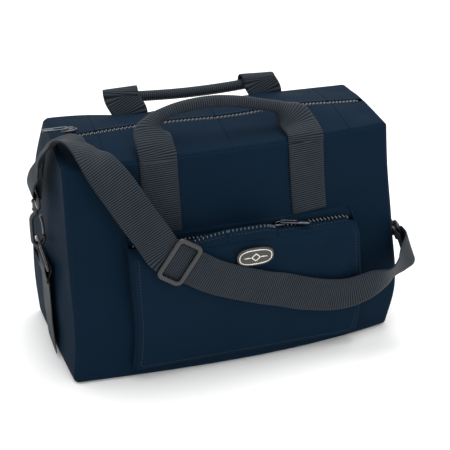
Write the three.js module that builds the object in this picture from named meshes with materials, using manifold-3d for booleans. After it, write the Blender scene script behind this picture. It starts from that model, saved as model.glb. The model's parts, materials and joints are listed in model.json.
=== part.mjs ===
// A soft flight bag: zipped box of padded nylon with a bellows front pocket, two webbing
// carrying handles and a shoulder strap clipped to a ring at each end.
// Millimetres, +Z up, +X along the bag, the pocket on the -Y side.
// The origin is the middle of the flat underside.
import * as THREE from "three";
import Module from "manifold-3d";
import { mergeVertices } from "three/addons/utils/BufferGeometryUtils.js";

const wasm = await Module();
wasm.setup();

// ---- driving dimensions ------------------------------------------------------------------

const GAP = 0.3;
const BODY = { length: 355.6, width: 152.4, height: 241.3, skin: 2.0 };
const HALF_LENGTH = BODY.length / 2;
const HALF_WIDTH = BODY.width / 2;
const WALL_TOP = 238.0;
const SEAM_TOP = 241.0;

// the roof rises from its long seams to the zip line
const ROOF = { rise: 5.0, thickness: 2.4, end: 132.0, hinge: 71.8, slot: 0.6 };
const TEETH = { pitch: 5.2, width: 3.2, height: 1.8 };
const ZIP_PARK = -152.0;

const POCKET = {
  left: -119.5,
  right: 127.5,
  bottom: 12.0,
  top: 151.0,
  bottomDepth: 20.0,
  topDepth: 30.0,
  skin: 1.8,
  zip: -84.6,
  mouthLeft: -97.5,
  mouthRight: 36.0,
  slider: 45.0,
};

const WEBBING = { width: 38.0, thickness: 1.6 };
const HANDLE = { legs: 80.0, legFoot: 151.6, legTop: 237.5, grip: 13.0 };
const END_WEBBING = { width: 50.0, top: 95.5 };
const RING = { bar: 108.0, out: 188.0, rod: 1.7, halfWidth: 30.0, depth: 23.0, side: 12.0 };
const ADJUSTER = { centre: [-70.5, -112.0, 143.5], along: [0.829, 0, -0.559] };

// ---- materials ---------------------------------------------------------------------------

function material(name, color, roughness, metalness) {
  const made = new THREE.MeshStandardMaterial({ color, roughness, metalness });
  made.name = name;
  return made;
}

const NYLON = material("navy_nylon", 0x16283f, 0.85, 0.0);
const WEB = material("charcoal_webbing", 0x353941, 0.9, 0.0);
const PLASTIC = material("black_plastic", 0x2a2b30, 0.4, 0.0);
const TAPE = material("zip_tape", 0x101a2a, 0.9, 0.0);
const TOOTH = material("zip_teeth", 0x6e737b, 0.5, 0.2);
const GUNMETAL = material("gunmetal", 0x4a4d54, 0.35, 0.9);
const BADGE = material("badge_plate", 0x1c1b1a, 0.4, 0.1);
const SILVER = material("badge_trim", 0xc9c6bb, 0.35, 0.7);

// ---- geometry helpers --------------------------------------------------------------------

const bag = new THREE.Group();
bag.name = "flight_bag";

function add(name, geometry, mat) {
  const mesh = new THREE.Mesh(geometry, mat);
  mesh.name = name;
  bag.add(mesh);
  return mesh;
}

const vec = (p) => new THREE.Vector3(p[0], p[1], p[2]);
const [X, Y, Z] = [vec([1, 0, 0]), vec([0, 1, 0]), vec([0, 0, 1])];

function boxGeometry(lo, hi) {
  const size = hi.map((h, i) => h - lo[i]);
  const middle = hi.map((h, i) => (h + lo[i]) / 2);
  return new THREE.BoxGeometry(...size).translate(...middle);
}

const box = (name, lo, hi, mat) => add(name, boxGeometry(lo, hi), mat);

function solid(geometry) {
  const bare = new THREE.BufferGeometry();
  const flat = geometry.index ? geometry.toNonIndexed() : geometry;
  bare.setAttribute("position", flat.getAttribute("position"));
  const merged = mergeVertices(bare, 1e-4);
  return new wasm.Manifold(
    new wasm.Mesh({
      numProp: 3,
      vertProperties: merged.attributes.position.array,
      triVerts: new Uint32Array(merged.index.array),
    }),
  );
}

function geometryOf(manifold) {
  const mesh = manifold.getMesh();
  const made = new THREE.BufferGeometry();
  made.setAttribute("position", new THREE.BufferAttribute(mesh.vertProperties, 3));
  made.setIndex(new THREE.BufferAttribute(mesh.triVerts, 1));
  const flat = made.toNonIndexed();
  flat.computeVertexNormals();
  return flat;
}

const fuse = (...parts) =>
  geometryOf(parts.map(solid).reduce((a, b) => a.add(b)));

const cut = (from, ...tools) =>
  geometryOf(tools.map(solid).reduce((a, b) => a.subtract(b), solid(from)));

// a polygon of [u, v] points pushed along one axis: "x" takes (y, z), "y" takes (z, x)
// and "z" takes (x, y)
function prism(points, axis, from, to) {
  const shape = new THREE.Shape(points.map((p) => new THREE.Vector2(p[0], p[1])));
  const made = new THREE.ExtrudeGeometry(shape, { depth: to - from, bevelEnabled: false });
  made.translate(0, 0, from);
  const turn = new THREE.Matrix4();
  if (axis === "x") turn.set(0, 0, 1, 0, 1, 0, 0, 0, 0, 1, 0, 0, 0, 0, 0, 1);
  if (axis === "y") turn.set(0, 1, 0, 0, 0, 0, 1, 0, 1, 0, 0, 0, 0, 0, 0, 1);
  return made.applyMatrix4(turn);
}

// Carries a closed section of [across, out] points along a path. `sides` gives the
// direction of "across" at each point; "out" is square to it and to the path.
function sweep(path, sides, section, closed = false) {
  const count = path.length;
  const rings = path.map((point, i) => {
    const before = path[closed ? (i + count - 1) % count : Math.max(i - 1, 0)];
    const after = path[closed ? (i + 1) % count : Math.min(i + 1, count - 1)];
    const tangent = after.clone().sub(before).normalize();
    const side = (Array.isArray(sides) ? sides[i] : sides).clone();
    side.addScaledVector(tangent, -side.dot(tangent)).normalize();
    const out = tangent.clone().cross(side);
    return section.map((s) =>
      point.clone().addScaledVector(side, s[0]).addScaledVector(out, s[1]),
    );
  });
  const triangles = [];
  const corners = section.length;
  for (let i = 0; i < (closed ? count : count - 1); i++) {
    const here = rings[i];
    const next = rings[(i + 1) % count];
    for (let j = 0; j < corners; j++) {
      const k = (j + 1) % corners;
      triangles.push([here[j], here[k], next[k]], [here[j], next[k], next[j]]);
    }
  }
  if (!closed) {
    for (let j = 1; j < corners - 1; j++) {
      triangles.push([rings[0][0], rings[0][j + 1], rings[0][j]]);
      const last = rings[count - 1];
      triangles.push([last[0], last[j], last[j + 1]]);
    }
  }
  let volume = 0;
  for (const [a, b, c] of triangles) volume += a.dot(b.clone().cross(c));
  const order = volume < 0 ? [0, 2, 1] : [0, 1, 2];
  const data = triangles.flatMap((t) => order.flatMap((k) => t[k].toArray()));
  const made = new THREE.BufferGeometry();
  made.setAttribute("position", new THREE.Float32BufferAttribute(data, 3));
  made.computeVertexNormals();
  return made;
}

const oblong = (width, thickness) => [
  [-width / 2, -thickness / 2],
  [width / 2, -thickness / 2],
  [width / 2, thickness / 2],
  [-width / 2, thickness / 2],
];

function disc(radius, corners = 10) {
  return Array.from({ length: corners }, (_, i) => {
    const turn = ((i + 0.5) * 2 * Math.PI) / corners;
    return [radius * Math.cos(turn), radius * Math.sin(turn)];
  });
}

const curveThrough = (points) =>
  new THREE.CatmullRomCurve3(points.map(vec), false, "centripetal");

// webbing through stations of {at, side}, the width direction turning smoothly between them
function webbing(stations, width, thickness, steps) {
  const centres = curveThrough(stations.map((s) => s.at));
  const turns = curveThrough(stations.map((s) => s.side));
  const at = (curve, i) => curve.getPoint(i / steps);
  const counts = Array.from({ length: steps + 1 }, (_, i) => i);
  return sweep(
    counts.map((i) => at(centres, i)),
    counts.map((i) => at(turns, i)),
    oblong(width, thickness),
  );
}

// points on an arc about `centre` in the plane of the directions `u` and `v`
function arc(centre, u, v, radius, from, to, steps) {
  return Array.from({ length: steps + 1 }, (_, i) => {
    const turn = from + ((to - from) * i) / steps;
    return centre
      .clone()
      .addScaledVector(u, radius * Math.cos(turn))
      .addScaledVector(v, radius * Math.sin(turn));
  });
}

// ---- the box of the bag ------------------------------------------------------------------

const inner = HALF_WIDTH - BODY.skin - GAP;
const endInside = HALF_LENGTH - BODY.skin;

box(
  "base_panel",
  [-endInside + GAP, -inner, 0],
  [endInside - GAP, inner, BODY.skin],
  NYLON,
);

// long panels stand up into the seam along the moving part of the roof only
const notch = ROOF.end;
const longPanel = [
  [0, -HALF_LENGTH],
  [0, HALF_LENGTH],
  [WALL_TOP, HALF_LENGTH],
  [WALL_TOP, notch],
  [SEAM_TOP, notch],
  [SEAM_TOP, -notch],
  [WALL_TOP, -notch],
  [WALL_TOP, -HALF_LENGTH],
].reverse();
add("front_panel", prism(longPanel, "y", -HALF_WIDTH, -HALF_WIDTH + BODY.skin), NYLON);
add("rear_panel", prism(longPanel, "y", HALF_WIDTH - BODY.skin, HALF_WIDTH), NYLON);
box("left_end_panel", [-HALF_LENGTH, -inner, 0], [-endInside, inner, WALL_TOP], NYLON);
box("right_end_panel", [endInside, -inner, 0], [HALF_LENGTH, inner, WALL_TOP], NYLON);

// ---- the roof and its zip ----------------------------------------------------------------

const roofTop = (y) => SEAM_TOP + ROOF.rise * (1 - Math.abs(y) / HALF_WIDTH);
const CROWN = roofTop(ROOF.slot);

// a strip of roof between two distances from the zip line, on the front (-1) or rear (+1)
function roofStrip(side, near, far, above, thickness) {
  const base = (y) => roofTop(y) + above;
  const outline = [
    [side * near, base(near)],
    [side * near, base(near) + thickness],
    [side * far, base(far) + thickness],
    [side * far, base(far)],
  ];
  return side > 0 ? outline.reverse() : outline;
}

// a comb of teeth that faces the zip line, from one x to another
function teethOutline(side, from, to) {
  const count = Math.max(2, Math.round((to - from) / TEETH.pitch));
  const step = (to - from) / count;
  const edge = side * ROOF.slot;
  const root = side * (ROOF.slot + 1.4);
  const back = side * (ROOF.slot + TEETH.width);
  const points = [[from, back]];
  for (let i = 0; i < count; i++) {
    const x = from + i * step;
    points.push([x, edge], [x + step * 0.55, edge]);
    points.push([x + step * 0.55, root], [x + step, root]);
  }
  points.push([to, back]);
  return side > 0 ? points.reverse() : points;
}

const TAPE_LIFT = GAP;
const TAPE_THICK = 0.8;
const TEETH_LIFT = CROWN + TAPE_LIFT + TAPE_THICK + GAP;

for (const [side, name] of [
  [-1, "front"],
  [1, "rear"],
]) {
  const reach = ROOF.end - 0.6;
  const flap = roofStrip(side, ROOF.slot + 0.4, ROOF.hinge + 0.8, -ROOF.thickness, ROOF.thickness);
  add(`top_${name}_flap`, prism(flap, "x", -reach, reach), NYLON);
  const tape = roofStrip(side, ROOF.slot + 0.4, 9.0, TAPE_LIFT, TAPE_THICK);
  add(`zip_tape_${name}`, prism(tape, "x", -reach, reach), TAPE);
  const comb = teethOutline(side, -reach, reach);
  add(`zip_teeth_${name}`, prism(comb, "z", TEETH_LIFT, TEETH_LIFT + TEETH.height), TOOTH);
}

// the sewn ends of the roof, each with a slot that the slider's neck runs in
for (const [hand, name] of [
  [-1, "left"],
  [1, "right"],
]) {
  const outer = hand * HALF_LENGTH;
  const near = hand * (ROOF.end + GAP);
  const [x0, x1] = [Math.min(outer, near), Math.max(outer, near)];
  const profile = [
    [-HALF_WIDTH, SEAM_TOP - ROOF.thickness],
    [0, SEAM_TOP + ROOF.rise - ROOF.thickness],
    [HALF_WIDTH, SEAM_TOP - ROOF.thickness],
    [HALF_WIDTH, SEAM_TOP],
    [0, SEAM_TOP + ROOF.rise],
    [-HALF_WIDTH, SEAM_TOP],
  ];
  const slotEnd = hand * 166;
  const slot = boxGeometry(
    [Math.min(slotEnd, near) - (hand > 0 ? 1 : 0), -ROOF.slot, 200],
    [Math.max(slotEnd, near) + (hand > 0 ? 0 : 1), ROOF.slot, 260],
  );
  add(`top_${name}_end`, cut(prism(profile, "x", x0, x1), slot), NYLON);
  const low = SEAM_TOP + ROOF.rise + TAPE_LIFT;
  const block = boxGeometry(
    [Math.max(x0, -170), -4.2, low],
    [Math.min(x1, 170), 4.2, TEETH_LIFT + TEETH.height],
  );
  add(`zip_end_${name}`, cut(block, slot), TOOTH);
}

// A slider in two plates joined by a neck in the slot; its pull lies along `pull`.
const PLATE_THICK = 1.8;

function slider(name, x, y, below, above, size) {
  const [half, wide] = size;
  const top = boxGeometry([x - half, y - wide, above], [x + half, y + wide, above + PLATE_THICK]);
  const neck = boxGeometry([x + 2, y - 0.3, below - 1.0], [x + half - 1.5, y + 0.3, above + 1.0]);
  const foot = boxGeometry([x - half, y - wide, below - 1.5], [x + half, y + wide, below]);
  add(name, fuse(top, neck, foot), GUNMETAL);
}

const PLATE_LIFT = TEETH_LIFT + TEETH.height + 0.4;
slider("zip_slider", ZIP_PARK, 0, CROWN - ROOF.thickness - 0.5, PLATE_LIFT, [8.0, 4.6]);
const PULL_HEIGHT = PLATE_LIFT + PLATE_THICK + 0.4;

// an oblong loop lying flat: `at` its hinge end, running along the unit direction `along`
function pullTab(name, at, along, length, width, thickness) {
  const run = vec(along).normalize();
  const across = Z.clone().cross(run).normalize();
  const outline = (grow) =>
    [
      [-grow, -width / 2 - grow],
      [length + grow, -width / 2 - grow],
      [length + grow, width / 2 + grow],
      [-grow, width / 2 + grow],
    ].map((p) => new THREE.Vector2(p[0], p[1]));
  const shape = new THREE.Shape(outline(0));
  shape.holes.push(new THREE.Path(outline(-1.4).reverse()));
  const made = new THREE.ExtrudeGeometry(shape, { depth: thickness, bevelEnabled: false });
  const place = new THREE.Matrix4().makeBasis(run, across, Z).setPosition(vec(at));
  add(name, made.applyMatrix4(place), GUNMETAL);
}

pullTab("zip_pull", [ZIP_PARK - 3, 0, PULL_HEIGHT], [-1, 0, 0], 24, 6.4, 1.6);

// ---- the front pocket --------------------------------------------------------------------

const pocketFace = (z) => {
  const share = (z - POCKET.bottom) / (POCKET.top - POCKET.bottom);
  return -HALF_WIDTH - POCKET.bottomDepth - (POCKET.topDepth - POCKET.bottomDepth) * share;
};
const P_LOW = POCKET.bottom;
const P_HIGH = POCKET.top - 1.8;
const behind = (z) => pocketFace(z) + POCKET.skin;
add(
  "pocket_front_panel",
  prism(
    [
      [pocketFace(P_LOW), P_LOW],
      [behind(P_LOW), P_LOW],
      [behind(P_HIGH), P_HIGH],
      [pocketFace(P_HIGH), P_HIGH],
    ],
    "x",
    POCKET.left,
    POCKET.right,
  ),
  NYLON,
);

const rootY = -HALF_WIDTH - GAP;
const gusset = [
  [rootY, P_LOW],
  [rootY, P_HIGH],
  [behind(P_HIGH) + GAP, P_HIGH],
  [behind(P_LOW) + GAP, P_LOW],
];
add(
  "pocket_left_gusset",
  prism(gusset, "x", POCKET.left, POCKET.left + POCKET.skin),
  NYLON,
);
add(
  "pocket_right_gusset",
  prism(gusset, "x", POCKET.right - POCKET.skin, POCKET.right),
  NYLON,
);
box(
  "pocket_bottom_gusset",
  [POCKET.left + POCKET.skin + GAP, behind(P_LOW) + GAP + 0.3, P_LOW],
  [POCKET.right - POCKET.skin - GAP, rootY, P_LOW + POCKET.skin],
  NYLON,
);

const P_ROOF = POCKET.top - 1.5;
const zipRear = POCKET.zip + ROOF.slot;
const zipFront = POCKET.zip - ROOF.slot;
const pocketLip = pocketFace(POCKET.top) + 0.4;
box("pocket_top_rear", [POCKET.left, zipRear, P_ROOF], [POCKET.right, rootY, POCKET.top], NYLON);
box(
  "pocket_top_left",
  [POCKET.left, pocketLip, P_ROOF],
  [POCKET.mouthLeft - 0.5, zipFront, POCKET.top],
  NYLON,
);
box(
  "pocket_top_right",
  [POCKET.mouthRight + 0.5, pocketLip, P_ROOF],
  [POCKET.right, zipFront, POCKET.top],
  NYLON,
);

const P_TEETH = POCKET.top + GAP;
const P_TEETH_HEIGHT = 1.6;
const alongPocket = (points) => points.map((p) => [p[0], p[1] + POCKET.zip]);
add(
  "pocket_teeth_rear",
  prism(
    alongPocket(teethOutline(1, POCKET.left + 3, POCKET.right - 5)),
    "z",
    P_TEETH,
    P_TEETH + P_TEETH_HEIGHT,
  ),
  TOOTH,
);
add(
  "pocket_teeth_right",
  prism(
    alongPocket(teethOutline(-1, POCKET.mouthRight + 0.5, POCKET.right - 5)),
    "z",
    P_TEETH,
    P_TEETH + P_TEETH_HEIGHT,
  ),
  TOOTH,
);

// the unzipped half of the pocket's top stands up from the front edge
const mouthTop = POCKET.top + (zipFront - pocketLip) - 3.6;
const lipY = pocketLip + 0.2;
box(
  "pocket_mouth_flap",
  [POCKET.mouthLeft, lipY, POCKET.top - 0.4],
  [POCKET.mouthRight, lipY + 1.5, mouthTop],
  NYLON,
);
const mouthComb = teethOutline(1, POCKET.mouthLeft + 1, POCKET.mouthRight - 1).map((p) => [
  p[0],
  p[1] - ROOF.slot,
]);
const standing = prism(mouthComb, "z", 0, 1.5);
// turned up so that the comb's back sits on the flap and its teeth point to the sky
standing.rotateX(-Math.PI / 2);
standing.translate(0, lipY, mouthTop + GAP + TEETH.width);
add("pocket_teeth_mouth", standing, TOOTH);

const P_PLATE = P_TEETH + P_TEETH_HEIGHT + 0.4;
slider("pocket_slider", POCKET.slider, POCKET.zip, P_ROOF - 0.4, P_PLATE, [7.0, 4.2]);
pullTab(
  "pocket_pull",
  [POCKET.slider + 2, POCKET.zip, P_PLATE + PLATE_THICK + 0.4],
  [0.93, -0.37, 0],
  29,
  6.4,
  1.6,
);

// ---- the badge ---------------------------------------------------------------------------

const badgeTilt = Math.atan2(
  POCKET.topDepth - POCKET.bottomDepth,
  POCKET.top - POCKET.bottom,
);
const BADGE_AT = [7.5, 134.0];

function onPocketFace(geometry, lift) {
  // drawn in (x, up) and facing +Z, then laid on the sloping face and turned to face -Y
  geometry.rotateX(Math.PI / 2 + badgeTilt);
  return geometry.translate(BADGE_AT[0], pocketFace(BADGE_AT[1]) - lift, BADGE_AT[1]);
}

function oval(halfWide, halfHigh, steps = 28) {
  return Array.from({ length: steps }, (_, i) => {
    const turn = (i * 2 * Math.PI) / steps;
    const squared = (v) => Math.sign(v) * Math.abs(v) ** 0.75;
    return new THREE.Vector2(
      halfWide * squared(Math.cos(turn)),
      halfHigh * squared(Math.sin(turn)),
    );
  });
}

const BADGE_THICK = 1.6;
const flatPlate = (shape, depth) =>
  new THREE.ExtrudeGeometry(shape, { depth, bevelEnabled: false });
const plateShape = new THREE.Shape(oval(20, 10.5));
add("badge_plate", onPocketFace(flatPlate(plateShape, BADGE_THICK), GAP), BADGE);
const emblem = new THREE.Shape(
  [
    [-14, -0.6],
    [-4, -0.6],
    [0, -4.6],
    [4, -0.6],
    [14, -0.6],
    [14, 0.6],
    [4, 0.6],
    [0, 4.6],
    [-4, 0.6],
    [-14, 0.6],
  ].map((p) => new THREE.Vector2(p[0], p[1])),
);
add("badge_emblem", onPocketFace(flatPlate(emblem, 0.6), GAP + BADGE_THICK + GAP), SILVER);

// ---- the carrying handles ----------------------------------------------------------------

const half = WEBBING.width / 2;
for (const [side, row] of [
  [-1, "front"],
  [1, "rear"],
]) {
  for (const [hand, name] of [
    [-1, "left"],
    [1, "right"],
  ]) {
    const face = side * (HALF_WIDTH + GAP);
    const out = side * (HALF_WIDTH + GAP + WEBBING.thickness);
    box(
      `${row}_leg_${name}`,
      [hand * HANDLE.legs - half, Math.min(face, out), row === "front" ? HANDLE.legFoot : 12],
      [hand * HANDLE.legs + half, Math.max(face, out), HANDLE.legTop],
      WEB,
    );
  }
}

// the hinge line of each handle is the top of its sewn legs
const HINGE = { y: HALF_WIDTH + GAP + WEBBING.thickness / 2, z: 240.5 };

// free webbing between the seam and the rolled grip
function riser(name, stations) {
  const path = curveThrough(stations).getPoints(10);
  add(name, sweep(path, X, oblong(WEBBING.width, WEBBING.thickness)), WEB);
}

// the front handle leans in over the roof and its grip is arched
const FRONT_GRIP = { y: -46.0, left: [-80, 264.5], right: [70, 268.5], crown: 12.0 };
for (const [hand, name, end] of [
  [-1, "left", FRONT_GRIP.left],
  [1, "right", FRONT_GRIP.right],
]) {
  const x = hand * HANDLE.legs;
  riser(`front_riser_${name}`, [
    [x, -HINGE.y, HINGE.z + 1.2],
    [x, -HINGE.y + 3.5, HINGE.z + 7.5],
    [x, -HINGE.y + 12, HINGE.z + 13.5],
    [x, FRONT_GRIP.y - 5.4, end[1] - 5.2],
  ]);
}
const archPoints = Array.from({ length: 17 }, (_, i) => {
  const t = i / 16;
  const [x0, z0] = FRONT_GRIP.left;
  const [x1, z1] = FRONT_GRIP.right;
  const bow = FRONT_GRIP.crown * (1 - (2 * t - 1) ** 2);
  return new THREE.Vector3(x0 + (x1 - x0) * t, FRONT_GRIP.y, z0 + (z1 - z0) * t + bow);
});
add("front_grip", sweep(archPoints, Y, disc(HANDLE.grip / 2, 10)), WEB);

// the rear handle stands up behind the roof with its grip sagging behind it
const REAR_GRIP = { y: HINGE.y + 8.4, z: 249.0, from: -76, to: 78, top: 258.5 };
for (const [hand, name] of [
  [-1, "left"],
  [1, "right"],
]) {
  const x = hand * HANDLE.legs;
  riser(`rear_riser_${name}`, [
    [x, HINGE.y, HINGE.z + 1.2],
    [x, HINGE.y, HINGE.z + 7],
    [x, HINGE.y, HINGE.z + 13],
    [x, HINGE.y, REAR_GRIP.top],
  ]);
}
const barPoints = Array.from({ length: 9 }, (_, i) => {
  const x = REAR_GRIP.from + ((REAR_GRIP.to - REAR_GRIP.from) * i) / 8;
  return new THREE.Vector3(x, REAR_GRIP.y, REAR_GRIP.z);
});
add("rear_grip", sweep(barPoints, Y, disc(HANDLE.grip / 2, 10)), WEB);

// ---- rings and their webbing at the two ends -------------------------------------------------

const endHalf = END_WEBBING.width / 2;

function endWebbing(hand, name) {
  const face = hand * (HALF_LENGTH + GAP);
  const out = hand * (HALF_LENGTH + GAP + WEBBING.thickness);
  box(
    `${name}_end_webbing`,
    [Math.min(face, out), -endHalf, 1.5],
    [Math.max(face, out), endHalf, END_WEBBING.top],
    WEB,
  );
  // the webbing turns over the ring's bar and comes back down to its own root
  const bar = new THREE.Vector3(hand * RING.out, 0, RING.bar);
  const inward = vec([-hand, 0, 0]);
  const path = [
    new THREE.Vector3(hand * (RING.out - 3.0), 0, END_WEBBING.top + 0.8),
    ...arc(bar, inward, Z, 3.0, 0, Math.PI, 8),
    new THREE.Vector3(hand * (RING.out + 1.2), 0, RING.bar - 8),
    new THREE.Vector3(hand * (RING.out - 0.9), 0, END_WEBBING.top + 0.8),
  ];
  add(`${name}_ring_chape`, sweep(path, Y, oblong(END_WEBBING.width, 1.2)), WEB);
}

// a closed outline through corners of [across, up, radius], each corner rounded
function roundedLoop(corners, steps) {
  const at = (i) => new THREE.Vector2(...corners[(i + corners.length) % corners.length]);
  return corners.flatMap((corner, i) => {
    const here = at(i);
    const back = at(i - 1).sub(here).normalize();
    const on = at(i + 1).sub(here).normalize();
    const half = Math.acos(back.dot(on)) / 2;
    const reach = corner[2] / Math.tan(half);
    const from = here.clone().addScaledVector(back, reach);
    const to = here.clone().addScaledVector(on, reach);
    const middle = back.clone().add(on).normalize();
    const centre = here.clone().addScaledVector(middle, corner[2] / Math.sin(half));
    return Array.from({ length: steps + 1 }, (_, k) => {
      const mix = from.clone().lerp(to, k / steps).sub(centre).normalize();
      return centre.clone().addScaledVector(mix, corner[2]);
    });
  });
}

// the webbing ring: its bar runs across the bag and its top leans out by `lean`
function ring(hand, name, lean) {
  const bar = new THREE.Vector3(hand * RING.out, 0, RING.bar);
  const up = new THREE.Vector3(hand * Math.sin(lean), 0, Math.cos(lean));
  const w = RING.halfWidth;
  const outline = roundedLoop(
    [
      [-w, 0, 4],
      [w, 0, 4],
      [w, RING.side, 5],
      [7, RING.depth, 6],
      [-7, RING.depth, 6],
      [-w, RING.side, 5],
    ],
    4,
  );
  const path = outline.map((p) => bar.clone().addScaledVector(Y, p.x).addScaledVector(up, p.y));
  const normal = Y.clone().cross(up);
  add(`${name}_ring`, sweep(path, normal, disc(RING.rod, 8), true), PLASTIC);
  return up;
}

// Snap hook in its own plane: `origin` is the middle of its curl, `v` runs to the eye and
// `u` across the hook to the gate; `bar` is the direction of the eye's webbing bar.
function snapHook(name, origin, u, v, bar) {
  const at = (a, b) => origin.clone().addScaledVector(u, a).addScaledVector(v, b);
  const plane = u.clone().cross(v);
  const curl = arc(origin, u, v, 6, -Math.PI, 0, 10);
  const stem = [at(0, 33), at(0, 31), at(-3.5, 28.5), at(-6, 24)];
  add(
    `${name}_hook`,
    sweep([...stem, ...curl, at(6, 3.5)], plane, oblong(5.2, 4.4)),
    PLASTIC,
  );
  add(
    `${name}_gate`,
    sweep([at(6, 4.4), at(5.8, 15), at(3.9, 27.4)], plane, oblong(4.6, 3.0)),
    PLASTIC,
  );
  const barrel = sweep([at(0, 33.4), at(0, 45.5)], plane, disc(4.4, 12));
  const b = bar.clone().normalize();
  const loopAt = (a, c) => at(0, c).addScaledVector(b, a);
  const loop = [
    loopAt(-21.5, 45.6),
    loopAt(21.5, 45.6),
    loopAt(23, 47.1),
    loopAt(23, 54.5),
    loopAt(21.5, 56),
    loopAt(-21.5, 56),
    loopAt(-23, 54.5),
    loopAt(-23, 47.1),
  ];
  const flat = b.clone().cross(v);
  add(`${name}_hook_eye`, fuse(barrel, sweep(loop, flat, oblong(3.6, 3.2), true)), PLASTIC);
  return at(0, 56);
}

// the strap's end: webbing folded once round the eye's bar, leaving along `away`
function strapEnd(name, eye, bar, away) {
  const b = bar.clone().normalize();
  const d = away.clone().addScaledVector(b, -away.dot(b)).normalize();
  const n = b.clone().cross(d);
  const path = [
    eye.clone().addScaledVector(n, 3.2).addScaledVector(d, 10),
    ...arc(eye, n, d, 3.2, 0, -Math.PI, 8),
    eye.clone().addScaledVector(n, -3.2).addScaledVector(d, 10),
  ];
  add(name, sweep(path, b, oblong(WEBBING.width, 1.4)), WEB);
  return d;
}

endWebbing(-1, "left");
endWebbing(1, "right");

const LEFT_LEAN = (10 * Math.PI) / 180;
const RIGHT_LEAN = (20 * Math.PI) / 180;

// left: the hook stands up from the ring's apex
const leftUp = ring(-1, "left", LEFT_LEAN);
const leftApex = new THREE.Vector3(-RING.out, 0, RING.bar).addScaledVector(leftUp, RING.depth);
const leftOrigin = leftApex.clone().addScaledVector(Z, 1.8);
const leftEye = snapHook("left", leftOrigin, X, Z, Y);
strapEnd("strap_left_end", leftEye, Y, Z);

// right: the strap draws the hook forward, round the ring's front corner
const rightUp = ring(1, "right", RIGHT_LEAN);
const rightAxis = new THREE.Vector3(-0.05, -0.97, -0.06).normalize();
const rightAcross = rightUp.clone().cross(rightAxis).normalize();
const rightOrigin = new THREE.Vector3(RING.out, 0, RING.bar)
  .addScaledVector(Y, -RING.halfWidth - 1.4)
  .addScaledVector(rightUp, 7.4);
const rightBar = new THREE.Vector3(-0.35, 0, 0.94);
rightBar.addScaledVector(rightAxis, -rightBar.dot(rightAxis)).normalize();
const rightEye = snapHook("right", rightOrigin, rightAcross, rightAxis, rightBar);
strapEnd("strap_right_end", rightEye, rightBar, rightAxis);

// ---- the shoulder strap ------------------------------------------------------------------

const along = vec(ADJUSTER.along).normalize();
const across = new THREE.Vector3(-along.z, 0, along.x);
const centre = vec(ADJUSTER.centre);
const beside = (distance) => centre.clone().addScaledVector(along, distance).toArray();
const flat = across.toArray();
const leftStart = leftEye.clone().add(new THREE.Vector3(0, 0, 11.5));
const rightStart = rightEye.clone().addScaledVector(rightAxis, 11.5);
const b = rightBar.toArray();

add(
  "strap_webbing",
  webbing(
    [
      { at: leftStart.toArray(), side: [0, 1, 0] },
      { at: [-190.5, -5, 214], side: [0.05, 1, 0] },
      { at: [-187.5, -14, 235], side: [0.12, 0.98, -0.1] },
      { at: [-179.5, -28, 256], side: [0.25, 0.95, -0.15] },
      { at: [-168, -45, 267], side: [0.35, 0.9, -0.2] },
      { at: [-158, -57, 266], side: [0.45, 0.87, 0.0] },
      { at: [-149.5, -69, 256], side: [0.5, 0.65, 0.55] },
      { at: [-138.5, -81, 241], side: [0.55, 0.3, 0.78] },
      { at: [-126.7, -89, 224], side: [0.6, 0.05, 0.8] },
      { at: [-112.5, -98, 196], side: [0.62, 0, 0.78] },
      { at: beside(-30), side: flat },
      { at: beside(-10), side: flat },
      { at: beside(10), side: flat },
      { at: beside(30), side: flat },
      { at: [-8, -109.5, 106.5], side: [0.34, -0.06, 0.94] },
      { at: [33, -107.5, 88], side: [0.25, -0.05, 0.97] },
      { at: [75, -105.5, 74], side: [0.05, -0.05, 1] },
      { at: [108, -104.5, 67], side: [-0.2, -0.05, 0.97] },
      { at: [132, -104.5, 74], side: [-0.36, -0.05, 0.93] },
      { at: [153, -106.5, 86], side: [-0.46, -0.03, 0.88] },
      { at: [169.5, -109.5, 97.5], side: [-0.45, 0, 0.89] },
      { at: [180, -110, 104.5], side: [-0.4, 0, 0.91] },
      { at: rightEye.clone().addScaledVector(rightAxis, 17).toArray(), side: b },
      { at: rightStart.toArray(), side: b },
    ],
    WEBBING.width,
    WEBBING.thickness,
    80,
  ),
  WEB,
);

// the adjuster: a frame in front of the webbing and a bar behind it, joined past its edges
function adjuster() {
  const [long, wide] = [48, 30];
  const block = (lo, hi) => boxGeometry(lo, hi);
  const plate = block([-wide / 2, -long / 2, 1.2], [wide / 2, long / 2, 4.2]);
  const window = block([-wide / 2 + 4, -long / 2 + 5, -5], [wide / 2 - 4, long / 2 - 5, 9]);
  const frame = geometryOf(solid(plate).subtract(solid(window)));
  const bar = block([-2.5, -long / 2 + 1.4, -3.2], [2.5, long / 2 - 1.4, -1.2]);
  const posts = [-1, 1].map((end) => {
    const y = end * (long / 2 - 2.6);
    return block([-2.5, y - 1.2, -3.2], [2.5, y + 1.2, 2]);
  });
  const made = fuse(frame, bar, ...posts);
  const out = along.clone().cross(across);
  const place = new THREE.Matrix4().makeBasis(along, across, out).setPosition(centre);
  return made.applyMatrix4(place);
}
add("strap_adjuster", adjuster(), PLASTIC);

export default bag;
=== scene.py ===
import json
import math

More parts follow.
